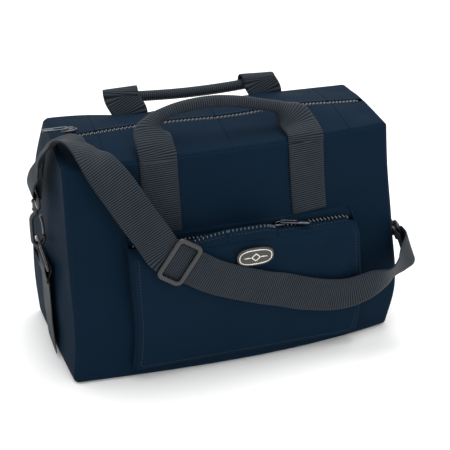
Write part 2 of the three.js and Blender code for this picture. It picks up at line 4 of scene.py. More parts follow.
import bpy
import numpy as np
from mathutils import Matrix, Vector


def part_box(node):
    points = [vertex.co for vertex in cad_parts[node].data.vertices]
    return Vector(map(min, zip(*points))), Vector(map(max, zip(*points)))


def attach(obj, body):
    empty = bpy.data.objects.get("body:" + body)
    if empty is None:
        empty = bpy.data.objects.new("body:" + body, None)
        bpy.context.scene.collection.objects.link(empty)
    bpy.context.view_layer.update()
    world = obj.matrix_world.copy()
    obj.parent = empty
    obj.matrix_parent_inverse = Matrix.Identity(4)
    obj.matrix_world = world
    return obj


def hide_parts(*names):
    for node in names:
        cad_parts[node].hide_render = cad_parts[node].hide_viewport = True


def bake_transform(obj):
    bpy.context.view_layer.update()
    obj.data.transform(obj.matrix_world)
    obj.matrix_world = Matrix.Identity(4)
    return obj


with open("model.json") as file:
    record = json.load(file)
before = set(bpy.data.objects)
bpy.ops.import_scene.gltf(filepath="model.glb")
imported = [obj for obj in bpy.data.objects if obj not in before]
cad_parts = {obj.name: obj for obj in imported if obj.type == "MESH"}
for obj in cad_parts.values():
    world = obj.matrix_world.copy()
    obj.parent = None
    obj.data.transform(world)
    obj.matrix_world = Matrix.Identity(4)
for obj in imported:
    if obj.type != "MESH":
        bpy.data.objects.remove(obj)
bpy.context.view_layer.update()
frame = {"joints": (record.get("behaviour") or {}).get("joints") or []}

MM = 0.001  # shapes below are worked out in millimetres, as in the CAD
JOINTS = {j["name"]: j for j in frame["joints"]}


def joint_point(name):
    return np.array(JOINTS[name]["pos_m"]) / MM


def joint_axis(name):
    axis = np.array(JOINTS[name]["axis"], float)
    return axis / np.linalg.norm(axis)


# ---- driving dimensions, from the frame ----

def node_box(name):
    lo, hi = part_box(name)
    return np.array(lo) / MM, np.array(hi) / MM


FRONT_LO, FRONT_HI = node_box("front_panel")
HALF_LENGTH = FRONT_HI[0]
HALF_WIDTH = -FRONT_LO[1]
TOP = 241.3
POCKET_LO, POCKET_HI = node_box("pocket_front_panel")
MOUTH_LO, MOUTH_HI = node_box("pocket_mouth_flap")
FLAP_END = node_box("top_front_flap")[1][0]
ZIP_LINE_Y = joint_point("pocket_pull_swing")[1]
POCKET_SILL = joint_point("mouth_flap_fold")[2]
LEG_X = 80.0
WEB_WIDTH = 38.0
WEB_THICK = 1.7
END_WEB_WIDTH = 50.0
RIB_PITCH = 2.3
SEAM_ROUND = 5.0
TOOTH_PITCH = 4.2
SIDES = ((-1, "left"), (1, "right"))
ROWS = ((-1, "front"), (1, "rear"))


# ---- camera ----

AZIMUTH, ELEVATION, DISTANCE = math.radians(-18.0), math.radians(26.8), 1.25
BACK = Vector(
    (
        math.sin(AZIMUTH) * math.cos(ELEVATION),
        -math.cos(AZIMUTH) * math.cos(ELEVATION),
        math.sin(ELEVATION),
    )
)
RIGHT = Vector((math.cos(AZIMUTH), math.sin(AZIMUTH), 0.0))
UP = BACK.cross(RIGHT)
camera_data = bpy.data.cameras.new("camera")
camera = bpy.data.objects.new("camera", camera_data)
bpy.context.scene.collection.objects.link(camera)
aim = Vector((0.0, 0.0, TOP * MM / 2)) + RIGHT * 0.0129 - UP * 0.0017
camera.location = aim + BACK * DISTANCE
camera.rotation_mode = "QUATERNION"
camera.rotation_quaternion = (-BACK).to_track_quat("-Z", "Y")
camera_data.sensor_width = 36.0
camera_data.lens = 90.96
camera_data.clip_start, camera_data.clip_end = 0.05, 20.0
bpy.context.scene.camera = camera

# ---- small mathematics ----


def unit(v):
    v = np.asarray(v, float)
    return v / np.maximum(np.linalg.norm(v, axis=-1, keepdims=True), 1e-9)


def smooth(t):
    t = np.clip(t, 0.0, 1.0)
    return t * t * (3 - 2 * t)


def through(x, xs, ys):
    """A smooth curve through the points (xs, ys), read at x."""
    xs, ys = np.asarray(xs, float), np.asarray(ys, float)
    x = np.clip(x, xs[0], xs[-1])
    slope = np.gradient(ys, xs)
    i = np.clip(np.searchsorted(xs, x, side="right") - 1, 0, len(xs) - 2)
    h = xs[i + 1] - xs[i]
    t = (x - xs[i]) / h
    a, b = ys[i], ys[i + 1]
    p, q = slope[i] * h, slope[i + 1] * h
    return (
        a * (2 * t**3 - 3 * t**2 + 1)
        + p * (t**3 - 2 * t**2 + t)
        + b * (3 * t**2 - 2 * t**3)
        + q * (t**3 - t**2)
    )


def spline(points, extras, step):
    """Points `step` apart along a centripetal Catmull-Rom curve, and `extras` carried along it."""
    p, e = np.asarray(points, float), np.asarray(extras, float)
    both = np.hstack([p, e.reshape(len(p), -1)])
    both = np.vstack([2 * both[0] - both[1], both, 2 * both[-1] - both[-2]])
    gap = np.sqrt(np.linalg.norm(np.diff(both[:, :3], axis=0), axis=1)) + 1e-6
    knots = np.concatenate([[0.0], np.cumsum(gap)])
    dense = []
    for i in range(1, len(both) - 2):
        t = np.linspace(knots[i], knots[i + 1], 40, endpoint=i == len(both) - 3)[:, None]

        def mix(a, b, u, v):
            return (knots[v] - t) / (knots[v] - knots[u]) * a + (t - knots[u]) / (
                knots[v] - knots[u]
            ) * b

        a1 = mix(both[i - 1], both[i], i - 1, i)
        a2 = mix(both[i], both[i + 1], i, i + 1)
        a3 = mix(both[i + 1], both[i + 2], i + 1, i + 2)
        b1 = mix(a1, a2, i - 1, i + 1)
        b2 = mix(a2, a3, i, i + 2)
        dense.append(mix(b1, b2, i, i + 1))
    dense = np.vstack(dense)
    run = run_length(dense[:, :3])
    count = max(2, int(round(run[-1] / step)) + 1)
    at = np.linspace(0.0, run[-1], count)
    out = read_along(at, run, dense)
    return out[:, :3], out[:, 3:].reshape((count,) + e.shape[1:]), at


def run_length(path):
    """Distance along a path at each of its points."""
    return np.concatenate([[0.0], np.cumsum(np.linalg.norm(np.diff(path, axis=0), axis=1))])


def read_along(places, run, values):
    """Rows of `values` read at distances `places` along a path."""
    return np.stack([np.interp(places, run, column) for column in values.T], axis=1)


def squared(v, power):
    return np.sign(v) * np.abs(v) ** power


def rounded_outline(corners, radius, steps):
    """(x, y) points of a quarter arc at each (centre x, centre y, first angle)."""
    points = []
    for x, y, turn in corners:
        for k in range(steps + 1):
            angle = turn + k * math.pi / (2 * steps)
            points.append((x + radius * math.cos(angle), y + radius * math.sin(angle)))
    return points


def steps_between(lo, hi, step, fine=8.0, fine_step=0.9):
    """Positions from lo to hi, close together near both ends, where the seams turn."""
    inner = np.arange(0.0, fine, fine_step)
    middle = np.linspace(lo + fine, hi - fine, max(2, int((hi - lo - 2 * fine) / step)))
    return np.concatenate([lo + inner, middle, (hi - inner)[::-1]])


# ---- mesh helpers ----


def make(name, verts, faces, material, cloth=None, flat=0):
    """A mesh object from millimetres. Its last `flat` faces are the cut edges of the sheet."""
    mesh = bpy.data.meshes.new(name)
    mesh.from_pydata((np.asarray(verts) * MM).tolist(), [], faces)
    mesh.materials.append(material)
    is_smooth = np.arange(len(mesh.polygons)) < len(mesh.polygons) - flat
    mesh.polygons.foreach_set("use_smooth", is_smooth)
    if cloth is not None:
        layer = mesh.attributes.new("cloth", "FLOAT_VECTOR", "POINT")
        where = np.zeros((len(verts), 3), np.float32)
        where[:, : np.asarray(cloth).shape[1]] = cloth
        layer.data.foreach_set("vector", where.ravel())
    mesh.update()
    made = bpy.data.objects.new(name, mesh)
    bpy.context.scene.collection.objects.link(made)
    return made


def slab(name, outer, thickness, material, cloth=None):
    """A closed sheet of fabric: `outer` is its outside as a grid of points, facing out."""
    ni, nj = outer.shape[:2]
    normal = unit(np.cross(np.gradient(outer, axis=0), np.gradient(outer, axis=1)))
    inner = outer - normal * thickness
    verts = np.concatenate([outer.reshape(-1, 3), inner.reshape(-1, 3)])
    index = np.arange(ni * nj).reshape(ni, nj)
    a, b, c, d = index[:-1, :-1], index[1:, :-1], index[1:, 1:], index[:-1, 1:]
    face = np.stack([a, b, c, d], -1).reshape(-1, 4)
    back = face[:, ::-1] + ni * nj
    rim = np.concatenate([index[:, 0], index[-1, 1:], index[-2::-1, -1], index[0, -2:0:-1]])
    after = np.roll(rim, -1)
    side = np.stack([rim, rim + ni * nj, after + ni * nj, after], -1)
    faces = np.concatenate([face, back, side]).tolist()
    if cloth is None:
        step_i = np.linalg.norm(np.diff(outer, axis=0), axis=2)
        step_j = np.linalg.norm(np.diff(outer, axis=1), axis=2)
        along = np.vstack([np.zeros((1, nj)), np.cumsum(step_i, axis=0)])
        across = np.hstack([np.zeros((ni, 1)), np.cumsum(step_j, axis=1)])
        cloth = np.stack([along, across], -1).reshape(-1, 2)
    return make(name, verts, faces, material, np.concatenate([cloth, cloth]), len(side))


def loft(name, rings, material, closed=False, cloth=None):
    """A solid through closed outlines: `rings` is an array of [ring, corner, xyz]."""
    count, corners = rings.shape[:2]
    index = np.arange(count * corners).reshape(count, corners)
    here = index if closed else index[:-1]
    there = np.roll(index, -1, axis=0) if closed else index[1:]
    quad = np.stack(
        [here, np.roll(here, -1, 1), np.roll(there, -1, 1), there], -1
    ).reshape(-1, 4)
    faces = quad.tolist()
    if not closed:
        faces += [index[0][::-1].tolist(), index[-1].tolist()]
    centre = rings.mean(axis=1)
    ring = rings[count // 2]
    nxt = centre[min(count // 2 + 1, count - 1)] - centre[max(count // 2 - 1, 0)]
    turn = np.cross(ring - centre[count // 2], np.roll(ring, -1, 0) - centre[count // 2]).sum(0)
    if turn @ nxt < 0:
        faces = [f[::-1] for f in faces]
    return make(name, rings.reshape(-1, 3), faces, material, cloth, 0 if closed else 2)


def frames_along(path, sides, closed=False):
    """Tangent, side and outward directions at each point of a path."""
    if closed:
        tangent = unit(np.roll(path, -1, 0) - np.roll(path, 1, 0))
    else:
        tangent = unit(np.gradient(path, axis=0))
    side = np.broadcast_to(np.asarray(sides, float), path.shape)
    side = unit(side - (side * tangent).sum(1, keepdims=True) * tangent)
    return tangent, side, np.cross(tangent, side)


def tube(name, path, sides, section, material, closed=False, cloth=None):
    """Carries a section of [across, out] points, or one section per point, along a path."""
    path = np.asarray(path, float)
    _, side, out = frames_along(path, sides, closed)
    section = np.asarray(section, float)
    if section.ndim == 2:
        section = np.broadcast_to(section, (len(path),) + section.shape)
    rings = (
        path[:, None, :]
        + section[:, :, :1] * side[:, None, :]
        + section[:, :, 1:] * out[:, None, :]
    )
    return loft(name, rings, material, closed, cloth)


def round_section(wide, thick, corners=16, power=2.6):
    """A soft-cornered oblong outline."""
    turn = np.linspace(0, 2 * math.pi, corners, endpoint=False)
    power = 2 / power
    return np.stack(
        [wide / 2 * squared(np.cos(turn), power), thick / 2 * squared(np.sin(turn), power)], 1
    )


def join(name, parts):
    """One object from several."""
    bpy.ops.object.select_all(action="DESELECT")
    for part in parts:
        part.select_set(True)
    bpy.context.view_layer.objects.active = parts[0]
    bpy.ops.object.join()
    parts[0].name = name
    parts[0].data.name = name
    return parts[0]


def finish_piece(piece, body, slot, *nodes):
    if nodes:
        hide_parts(*nodes)
    if body is not None:
        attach(piece, body)
    return piece


def ribbed(name, path, sides, width, material, curl=None, flip=1.0, thick=WEB_THICK):
    """Webbing with woven ribs across it. `curl` is the angle, at each point, that its width is
    rolled through."""
    path = np.asarray(path, float)
    run = run_length(path)
    across = np.linspace(-1, 1, 17)
    edge = 1 - 0.45 * np.abs(across) ** 10
    rib_relief_and_valley_shade = 0.5 + 0.5 * np.cos(2 * math.pi * run / RIB_PITCH)
    half = thick / 2 * (0.72 + 0.28 * rib_relief_and_valley_shade[:, None]) * edge[None, :]
    bend = np.zeros(len(path)) if curl is None else np.asarray(curl, float)
    bend = np.maximum(np.abs(bend), 1e-3)[:, None]
    widths = np.broadcast_to(np.asarray(width, float), (len(path),))
    radius = widths[:, None] / bend
    angle = bend * across[None, :] / 2

    def surface(lift):
        r = radius + flip * lift
        u = r * np.sin(angle)
        v = flip * (r * np.cos(angle) - radius)
        return np.stack([u, v], -1)

    outer, inner = surface(half), surface(-half)
    section = np.concatenate([outer, inner[:, ::-1]], axis=1)
    over = np.concatenate([across, across[::-1]]) * widths[0] / 2
    cloth = np.stack(
        [np.repeat(run, 34), np.tile(over, len(path)), np.zeros(34 * len(path))], 1
    )
    return tube(name, path, sides, section, material, cloth=cloth)


# ---- materials ----


class Nodes:
    """A Principled material and short calls that add nodes to it."""

    def __init__(self, name, color, roughness, metallic=0.0, specular=0.5):
        self.material = bpy.data.materials.new(name)
        self.material.use_nodes = True
        self.tree = self.material.node_tree
        self.shader = self.tree.nodes["Principled BSDF"]
        self.shader.inputs["Base Color"].default_value = (*color, 1)
        self.shader.inputs["Roughness"].default_value = roughness
        self.shader.inputs["Metallic"].default_value = metallic
        self.shader.inputs["Specular IOR Level"].default_value = specular

    def add(self, kind, **settings):
        node = self.tree.nodes.new(kind)
        for key, value in settings.items():
            setattr(node, key, value)
        return node

    def link(self, source, target):
        self.tree.links.new(source, target)

    def cloth(self):
        return self.add("ShaderNodeAttribute", attribute_name="cloth").outputs["Vector"]

    def place(self):
        return self.add("ShaderNodeTexCoord").outputs["Object"]

    def noise(self, where, scale, detail=3.0, rough=0.55):
        node = self.add("ShaderNodeTexNoise")
        node.inputs["Scale"].default_value = scale
        node.inputs["Detail"].default_value = detail
        node.inputs["Roughness"].default_value = rough
        self.link(where, node.inputs["Vector"])
        return node.outputs["Fac"]

    def math(self, operation, a, b=0.0, c=0.0):
        node = self.add("ShaderNodeMath", operation=operation)
        for socket, value in zip(node.inputs, (a, b, c)):
            if hasattr(value, "links"):
                self.link(value, socket)
            else:
                socket.default_value = value
        return node.outputs[0]

    def split(self, vector):
        node = self.add("ShaderNodeSeparateXYZ")
        self.link(vector, node.inputs[0])
        return node.outputs

    def wave(self, value, pitch, phase=0.0):
        turns = self.math("MULTIPLY_ADD", value, 2 * math.pi / pitch, phase)
        return self.math("MULTIPLY_ADD", self.math("SINE", turns), 0.5, 0.5)

    def tint(self, factor, dark, light):
        node = self.add("ShaderNodeMix", data_type="RGBA")
        self.link(factor, node.inputs["Factor"])
        node.inputs["A"].default_value = (*dark, 1)
        node.inputs["B"].default_value = (*light, 1)
        return node.outputs["Result"]

    def bump(self, height, distance, strength=1.0):
        node = self.add("ShaderNodeBump")
        node.inputs["Distance"].default_value = distance
        node.inputs["Strength"].default_value = strength
        self.link(height, node.inputs["Height"])
        self.link(node.outputs["Normal"], self.shader.inputs["Normal"])

    def rough(self, factor, low, high):
        self.link(
            self.math("MULTIPLY_ADD", factor, high - low, low), self.shader.inputs["Roughness"]
        )


def nylon(name, dark, light, sheen=0.12, pitch=0.55):
    """Plain-weave coated nylon: two crossing yarn directions, slightly uneven in colour."""
    m = Nodes(name, light, 0.7, specular=0.015)
    along, across, _ = m.split(m.cloth())
    warp = m.wave(along, pitch)
    weft = m.wave(across, pitch, math.pi / 2)
    weave = m.math("MULTIPLY", warp, weft)
    cloud = m.noise(m.place(), 14.0, 4.0)
    grain = m.noise(m.place(), 900.0, 2.0)
    shade = m.math("ADD", m.math("MULTIPLY", weave, 0.35), m.math("MULTIPLY", cloud, 0.5))
    shade = m.math("ADD", shade, m.math("MULTIPLY", grain, 0.3))
    m.link(m.tint(shade, dark, light), m.shader.inputs["Base Color"])
    m.rough(cloud, 0.55, 0.7)
    m.shader.inputs["Sheen Weight"].default_value = sheen
    m.shader.inputs["Sheen Roughness"].default_value = 0.45
    m.shader.inputs["Sheen Tint"].default_value = (0.55, 0.66, 0.85, 1)
    height = m.math("ADD", weave, m.math("MULTIPLY", grain, 0.6))
    m.bump(height, 0.00012, 0.5)
    return m.material


def webbing(name, dark, light):
    """Ribbed polypropylene webbing: raised ribs across it, and fine yarns along it. The valleys between the
    ribs are painted darker as painted shade.
    """
    m = Nodes(name, light, 0.62, specular=0.1)
    along, across, _ = m.split(m.cloth())
    # painted shade: the base colour follows the rib height, dark in the valleys between the ribs and light
    # on their crests
    rib_relief_and_valley_shade = m.wave(along, RIB_PITCH, math.pi / 2)
    yarn = m.wave(across, 1.1)
    worn = m.noise(m.place(), 60.0, 4.0)
    fuzz = m.noise(m.place(), 1400.0, 2.0)
    shade = m.math("MULTIPLY_ADD", rib_relief_and_valley_shade, 0.9, m.math("MULTIPLY", yarn, 0.12))
    shade = m.math("ADD", shade, m.math("MULTIPLY_ADD", worn, 0.35, -0.27))
    shade = m.math("ADD", shade, m.math("MULTIPLY_ADD", fuzz, 0.2, -0.1))
    m.link(m.tint(shade, dark, light), m.shader.inputs["Base Color"])
    m.rough(worn, 0.5, 0.7)
    m.shader.inputs["Sheen Weight"].default_value = 0.03
    m.shader.inputs["Sheen Roughness"].default_value = 0.5
    m.bump(m.math("ADD", m.math("MULTIPLY", yarn, 0.5), fuzz), 0.00015, 0.6)
    return m.material


def moulded(name, dark, light, low, high):
    """Moulded plastic hardware with a faint grain and scuffed patches."""
    m = Nodes(name, light, low, specular=0.5)
    scuff = m.noise(m.place(), 90.0, 5.0)
    grain = m.noise(m.place(), 1600.0, 2.0)
    colour = m.tint(scuff, dark, light)
    m.link(colour, m.shader.inputs["Base Color"])
    m.rough(m.math("MULTIPLY_ADD", grain, 0.4, m.math("MULTIPLY", scuff, 0.6)), low, high)
    m.bump(grain, 0.00008, 0.35)
    return m.material


def plated(name, dark, light, low, high):
    """Plated die-cast metal with fine wear."""
    m = Nodes(name, light, low, metallic=1.0)
    wear = m.noise(m.place(), 220.0, 5.0)
    grain = m.noise(m.place(), 2400.0, 2.0)
    m.link(m.tint(wear, dark, light), m.shader.inputs["Base Color"])
    m.rough(m.math("MULTIPLY_ADD", grain, 0.5, m.math("MULTIPLY", wear, 0.5)), low, high)
    m.bump(wear, 0.00006, 0.3)
    return m.material


NYLON = nylon("navy_nylon", (0.0025, 0.0090, 0.0182), (0.0054, 0.0155, 0.0308), sheen=0.008)
# the webbing's dark colour is mostly painted shade, used in the valleys between the ribs
WEB = webbing("charcoal_webbing", (0.0015, 0.0025, 0.004), (0.031, 0.042, 0.055))
TAPE = nylon("zip_tape", (0.001, 0.004, 0.009), (0.004, 0.010, 0.018), sheen=0.02, pitch=0.8)
TOOTH = moulded("zip_teeth", (0.07, 0.08, 0.09), (0.16, 0.17, 0.185), 0.3, 0.5)
# painted shade: a darker copy of the tooth colour, used for the pocket zip's teeth on the standing lip,
# while the rest of that zip uses TOOTH
SHADED_TOOTH = moulded("shaded_zip_teeth", (0.02, 0.024, 0.03), (0.09, 0.1, 0.115), 0.3, 0.5)
PLASTIC = moulded("black_plastic", (0.006, 0.0065, 0.008), (0.02, 0.021, 0.025), 0.16, 0.32)
GUNMETAL = plated("gunmetal", (0.03, 0.033, 0.04), (0.12, 0.13, 0.15), 0.2, 0.38)
BADGE = moulded("badge_plate", (0.018, 0.015, 0.012), (0.035, 0.031, 0.026), 0.3, 0.45)
TRIM = plated("badge_trim", (0.55, 0.54, 0.48), (0.80, 0.79, 0.72), 0.25, 0.4)
THREAD = moulded("navy_thread", (0.002, 0.009, 0.018), (0.006, 0.018, 0.034), 0.5, 0.7)

# ---- how the filled bag sags away from a box ----

# heights, and at each the (x, y) shift of the bag's four corners
HEIGHTS = [0, 45, 125, 200, 241]
FRONT_LEFT = [(0, -7.5), (4.6, -6), (4, -2), (3.5, 0), (2.5, 0.5)]
FRONT_RIGHT = [(4, 2.5), (10, -3), (3, 0), (-5, 7), (-8, 9)]
REAR_RIGHT = [(2, 0), (6, 2), (5, 1), (3, -2), (4, -5)]
REAR_LEFT = [(-9, 5), (-11.5, 6), (-8, 6), (1, 2), (11, -3)]
BULGE_FRONT = [15, 13, 8, 5.5, 6]
BULGE_REAR = [6, 6, 5, 3, 0]
BULGE_LEFT = [1, 2.5, 2.5, 2.5, 0]
BULGE_RIGHT = [1, 2, 1.5, 1.5, 0]


def ripple(a, b, size, seed):
    """Slow unevenness of slack cloth, in the two directions of a panel."""
    draw = np.random.default_rng(seed)
    total = np.zeros_like(a, dtype=float)
    for _ in range(7):
        heading = draw.uniform(0, math.pi)
        length = draw.uniform(38, 110)
        phase = draw.uniform(0, 2 * math.pi)
        wave = (a * math.cos(heading) + b * math.sin(heading)) * 2 * math.pi / length
        total += np.sin(wave + phase) * length / 110
    return total * size / 2.4


def sag(points):
    """Moves points of the nominal box to where the soft bag has them."""
    points = np.asarray(points, float)
    x, y, z = points[..., 0], points[..., 1], points[..., 2]
    u = np.clip(x / HALF_LENGTH, -1, 1)
    v = np.clip(y / HALF_WIDTH, -1, 1)
    h = np.clip(z, 0, HEIGHTS[-1])
    right, rear = (1 + u) / 2, (1 + v) / 2
    moved = points.copy()
    for corner, share in (
        (FRONT_LEFT, (1 - right) * (1 - rear)),
        (FRONT_RIGHT, right * (1 - rear)),
        (REAR_RIGHT, right * rear),
        (REAR_LEFT, (1 - right) * rear),
    ):
        moved[..., 0] += share * through(h, HEIGHTS, [c[0] for c in corner])
        moved[..., 1] += share * through(h, HEIGHTS, [c[1] for c in corner])
    long_way, short_way = 1 - u * u, 1 - v * v
    moved[..., 1] -= (1 - rear) * through(h, HEIGHTS, BULGE_FRONT) * long_way * (1 + 0.3 * u)
    moved[..., 1] += rear * through(h, HEIGHTS, BULGE_REAR) * long_way
    moved[..., 0] -= (1 - right) * through(h, HEIGHTS, BULGE_LEFT) * short_way
    moved[..., 0] += right * through(h, HEIGHTS, BULGE_RIGHT) * short_way
    high = smooth((z - 120) / 121)
    dip = np.exp(-(((x + 75) / 48) ** 2)) * rear
    front_edge = 0.8 + 2.2 * right - 1.6 * long_way
    rear_edge = -2.6 - 6.0 * dip
    moved[..., 2] += high * ((1 - rear) * front_edge + rear * rear_edge)
    moved[..., 1] -= high * 5.0 * dip
    return moved


def edge_round(distance, radius=SEAM_ROUND, pinch=0.9):
    """How far a panel drops back near a seam, `distance` from the nominal corner."""
    d = np.clip(distance, 0, radius)
    fall = radius - np.sqrt(np.maximum(radius**2 - (radius - d) ** 2, 0))
    start = radius * (1 - math.sqrt(0.5))
    return fall + pinch * np.exp(-((distance - start) ** 2) / 1.1)


SEAM_START = SEAM_ROUND * (1 - math.sqrt(0.5))  # where two rounded panels meet

# ---- the walls and base of the bag ----

ZIP_GAP = 4.4  # from the zip line to the folded edge of each flap


def zip_height(x):
    """Height of the zip line, which waves a little along the roof."""
    swell = 9.0 * (1 - (np.abs(np.minimum(x, 0)) / 190) ** 3) - 5.0 * (np.maximum(x, 0) / 165) ** 2
    wave = 2.4 * np.cos(2 * math.pi * (x + 81) / 190) * np.clip(1 - (x / 165) ** 2, 0, 1)
    return TOP + swell + wave


def roof_rise(x, y):
    """How far the roof stands above its sewn edge."""
    v = np.clip(np.abs(y) / HALF_WIDTH, 0, 1)
    return (zip_height(x) - TOP) * (1 - v**1.5)


def wall(name, axis, hand):
    """A long wall (axis 1) or an end wall (axis 0) on the -1 or +1 side."""
    reach = HALF_LENGTH if axis == 1 else HALF_WIDTH
    depth = HALF_WIDTH if axis == 1 else HALF_LENGTH
    s = steps_between(-reach + SEAM_START, reach - SEAM_START, 4.0)
    t = steps_between(SEAM_START, TOP - SEAM_START, 4.0)
    across, up = np.meshgrid(s, t, indexing="ij")
    drop = edge_round(reach - np.abs(across))
    drop += edge_round(up) + edge_round(TOP - up)
    drop -= ripple(across, up, 1.0, 3 + axis * 2 + hand) * smooth(
        np.minimum(reach - np.abs(across), np.minimum(up, TOP - up)) / 40
    )
    out = hand * (depth - drop)
    if axis == 0:
        up = up + roof_rise(np.full_like(up, hand * HALF_LENGTH), across) * smooth((up - 190) / 50)
    nominal = np.stack([across, out, up] if axis == 1 else [out, across, up], -1)
    grid = sag(nominal)
    outward = hand if axis == 0 else -hand
    if outward < 0:
        grid = grid[::-1]
    piece = slab(name, grid, 1.8, NYLON)
    node = {(1, -1): "front_panel", (1, 1): "rear_panel", (0, -1): "left_end_panel"}
    return finish_piece(piece, "bag", "nylon", node.get((axis, hand), "right_end_panel"))


wall("front_wall", 1, -1)
wall("rear_wall", 1, 1)
wall("left_end_wall", 0, -1)
wall("right_end_wall", 0, 1)


def base():
    s = steps_between(-HALF_LENGTH + SEAM_START, HALF_LENGTH - SEAM_START, 6.0)
    t = steps_between(-HALF_WIDTH + SEAM_START, HALF_WIDTH - SEAM_START, 6.0)
    x, y = np.meshgrid(s, t, indexing="ij")
    lift = edge_round(HALF_LENGTH - np.abs(x)) + edge_round(HALF_WIDTH - np.abs(y))
    grid = sag(np.stack([x, y, lift], -1))[::-1]
    return finish_piece(slab("base_fabric", grid, 1.8, NYLON), "bag", "nylon", "base_panel")


base()

# ---- the roof: two zipped flaps between sewn ends ----

def roof(x, y):
    """Points of the roof above nominal x and y, before any seam turns down."""
    v = np.clip(np.abs(y) / HALF_WIDTH, 0, 1)
    away = np.minimum(1 - v, v) * 2
    z = TOP + roof_rise(x, y) + ripple(x, y, 0.9, 21) * smooth(away)
    moved = sag(np.stack([x, y, np.full_like(x, 241.0)], -1))
    moved[..., 2] += z - 241.0
    return moved


def roof_patch(name, xs, ys, body, blend_to=None, *nodes):
    x, y = np.meshgrid(xs, ys, indexing="ij")
    grid = roof(x, y)
    drop = edge_round(HALF_WIDTH - np.abs(y)) + edge_round(HALF_LENGTH - np.abs(x))
    fold = np.clip(1 - (np.abs(y) - ZIP_GAP) / 1.6, 0, 1) ** 2 * 1.1
    grid[..., 2] -= drop + fold
    piece = slab(name, grid, 1.6, NYLON)
    if blend_to is None:
        return finish_piece(piece, body, "nylon", *nodes)
    finish_piece(piece, None, "nylon", *nodes)
    return bend_across(piece)


def bend_across(piece):
    """Bakes the piece's placement into its mesh."""
    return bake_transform(piece)


def halves(reach):
    return (("left", np.linspace(-reach, 0, 45)), ("right", np.linspace(0, reach, 45)))


flap_rows = {
    -1: np.concatenate(
        [
            np.linspace(-HALF_WIDTH + SEAM_START, -HALF_WIDTH + 7, 8)[:-1],
            np.linspace(-HALF_WIDTH + 7, -ZIP_GAP - 2.4, 20)[:-1],
            np.linspace(-ZIP_GAP - 2.4, -ZIP_GAP, 6),
        ]
    )
}
flap_rows[1] = -flap_rows[-1][::-1]

for side, row in ROWS:
    for hand, xs in halves(FLAP_END):
        roof_patch(
            f"{row}_flap_{hand}_half",
            xs,
            flap_rows[side],
            None,
            f"{row}_flap",
            f"top_{row}_flap",
        )

for hand, name in SIDES:
    near = np.linspace(FLAP_END, HALF_LENGTH - 9, 12)[:-1]
    far = np.linspace(HALF_LENGTH - 9, HALF_LENGTH - SEAM_START, 9)
    xs = np.concatenate([near, far])
    xs = xs if hand > 0 else -xs[::-1]
    end_nodes = [f"top_{name}_end"]
    for side, row in ROWS:
        roof_patch(f"roof_{name}_{row}_end", xs, flap_rows[side], "bag", None, *end_nodes)
        end_nodes = []

# ---- zips ----


def tooth_block():
    """One moulded zip tooth: its foot on the tape, its head over the zip line.
    Points are [along, towards the other side, up], faces outward."""
    half = [(0.6, -1.9), (0.55, -0.5), (0.75, 0.1), (0.5, 0.7)]
    plan = half + [(-a, b) for a, b in reversed(half)]
    low = [(a, b, 0.0) for a, b in plan]
    mid = [(a, b, 0.9) for a, b in plan]
    top = [(a * 0.7, b * 0.82 - 0.15, 1.4) for a, b in plan]
    n = len(plan)
    verts = np.array(low + mid + top)
    faces = [list(range(n))[::-1], [2 * n + i for i in range(n)]]
    for base_ring in (0, n):
        for i in range(n):
            j = (i + 1) % n
            faces.append([base_ring + i, base_ring + j, base_ring + n + j, base_ring + n + i])
    return verts, faces


TOOTH_VERTS, TOOTH_FACES = tooth_block()


def teeth(name, line, towards, above, material, first=0.0, pitch=TOOTH_PITCH):
    """A row of teeth along `line`; `towards` is where their heads point, `above` their top."""
    run = run_length(line)
    places = np.arange(first + 1.0, run[-1] - 0.8, pitch)
    at = read_along(places, run, line)
    tangent = unit(read_along(places, run, np.gradient(line, axis=0)))
    head = read_along(places, run, np.broadcast_to(np.asarray(towards, float), line.shape))
    head = unit(head - (head * tangent).sum(1, keepdims=True) * tangent)
    top = np.cross(tangent, head)
    wanted = np.broadcast_to(np.asarray(above, float), top.shape)
    top *= np.sign((top * wanted).sum(1, keepdims=True))
    verts, faces = [], []
    for i in range(len(places)):
        block = (
            at[i]
            + TOOTH_VERTS[:, :1] * tangent[i]
            + TOOTH_VERTS[:, 1:2] * head[i]
            + TOOTH_VERTS[:, 2:] * top[i]
        )
        flip = np.cross(tangent[i], head[i]) @ top[i] < 0
        start = i * len(TOOTH_VERTS)
        verts.append(block)
        for f in TOOTH_FACES:
            shifted = [start + k for k in f]
            faces.append(shifted[::-1] if flip else shifted)
    return make(name, np.concatenate(verts), faces, material)


def roof_line(xs, y, lift):
    line = roof(xs, np.full_like(xs, y))
    line[:, 2] += lift
    return line


def tape_strip(name, xs, near, far, drop):
    ys = np.linspace(near, far, 6) if near < far else np.linspace(far, near, 6)
    x, y = np.meshgrid(xs, ys, indexing="ij")
    grid = roof(x, y)
    grid[..., 2] -= drop
    return slab(name, grid, 0.6, TAPE)


for side, row in ROWS:
    for hand, xs in halves(FLAP_END):
        tape = tape_strip(f"{row}_zip_tape_{hand}_half", xs, side * 0.9, side * 8.5, 1.9)
        finish_piece(tape, None, "zip_tape", f"zip_tape_{row}")
        bend_across(tape)
        line = roof_line(np.linspace(xs[0], xs[-1], 120), side * 0.5, -1.85)
        shift = 0.0 if side < 0 else TOOTH_PITCH / 2
        chain = teeth(f"{row}_zip_teeth_{hand}_half", line, (0, -side, 0), (0, 0, 1), TOOTH, shift)
        finish_piece(chain, None, "zip_teeth", f"zip_teeth_{row}")
        bend_across(chain)

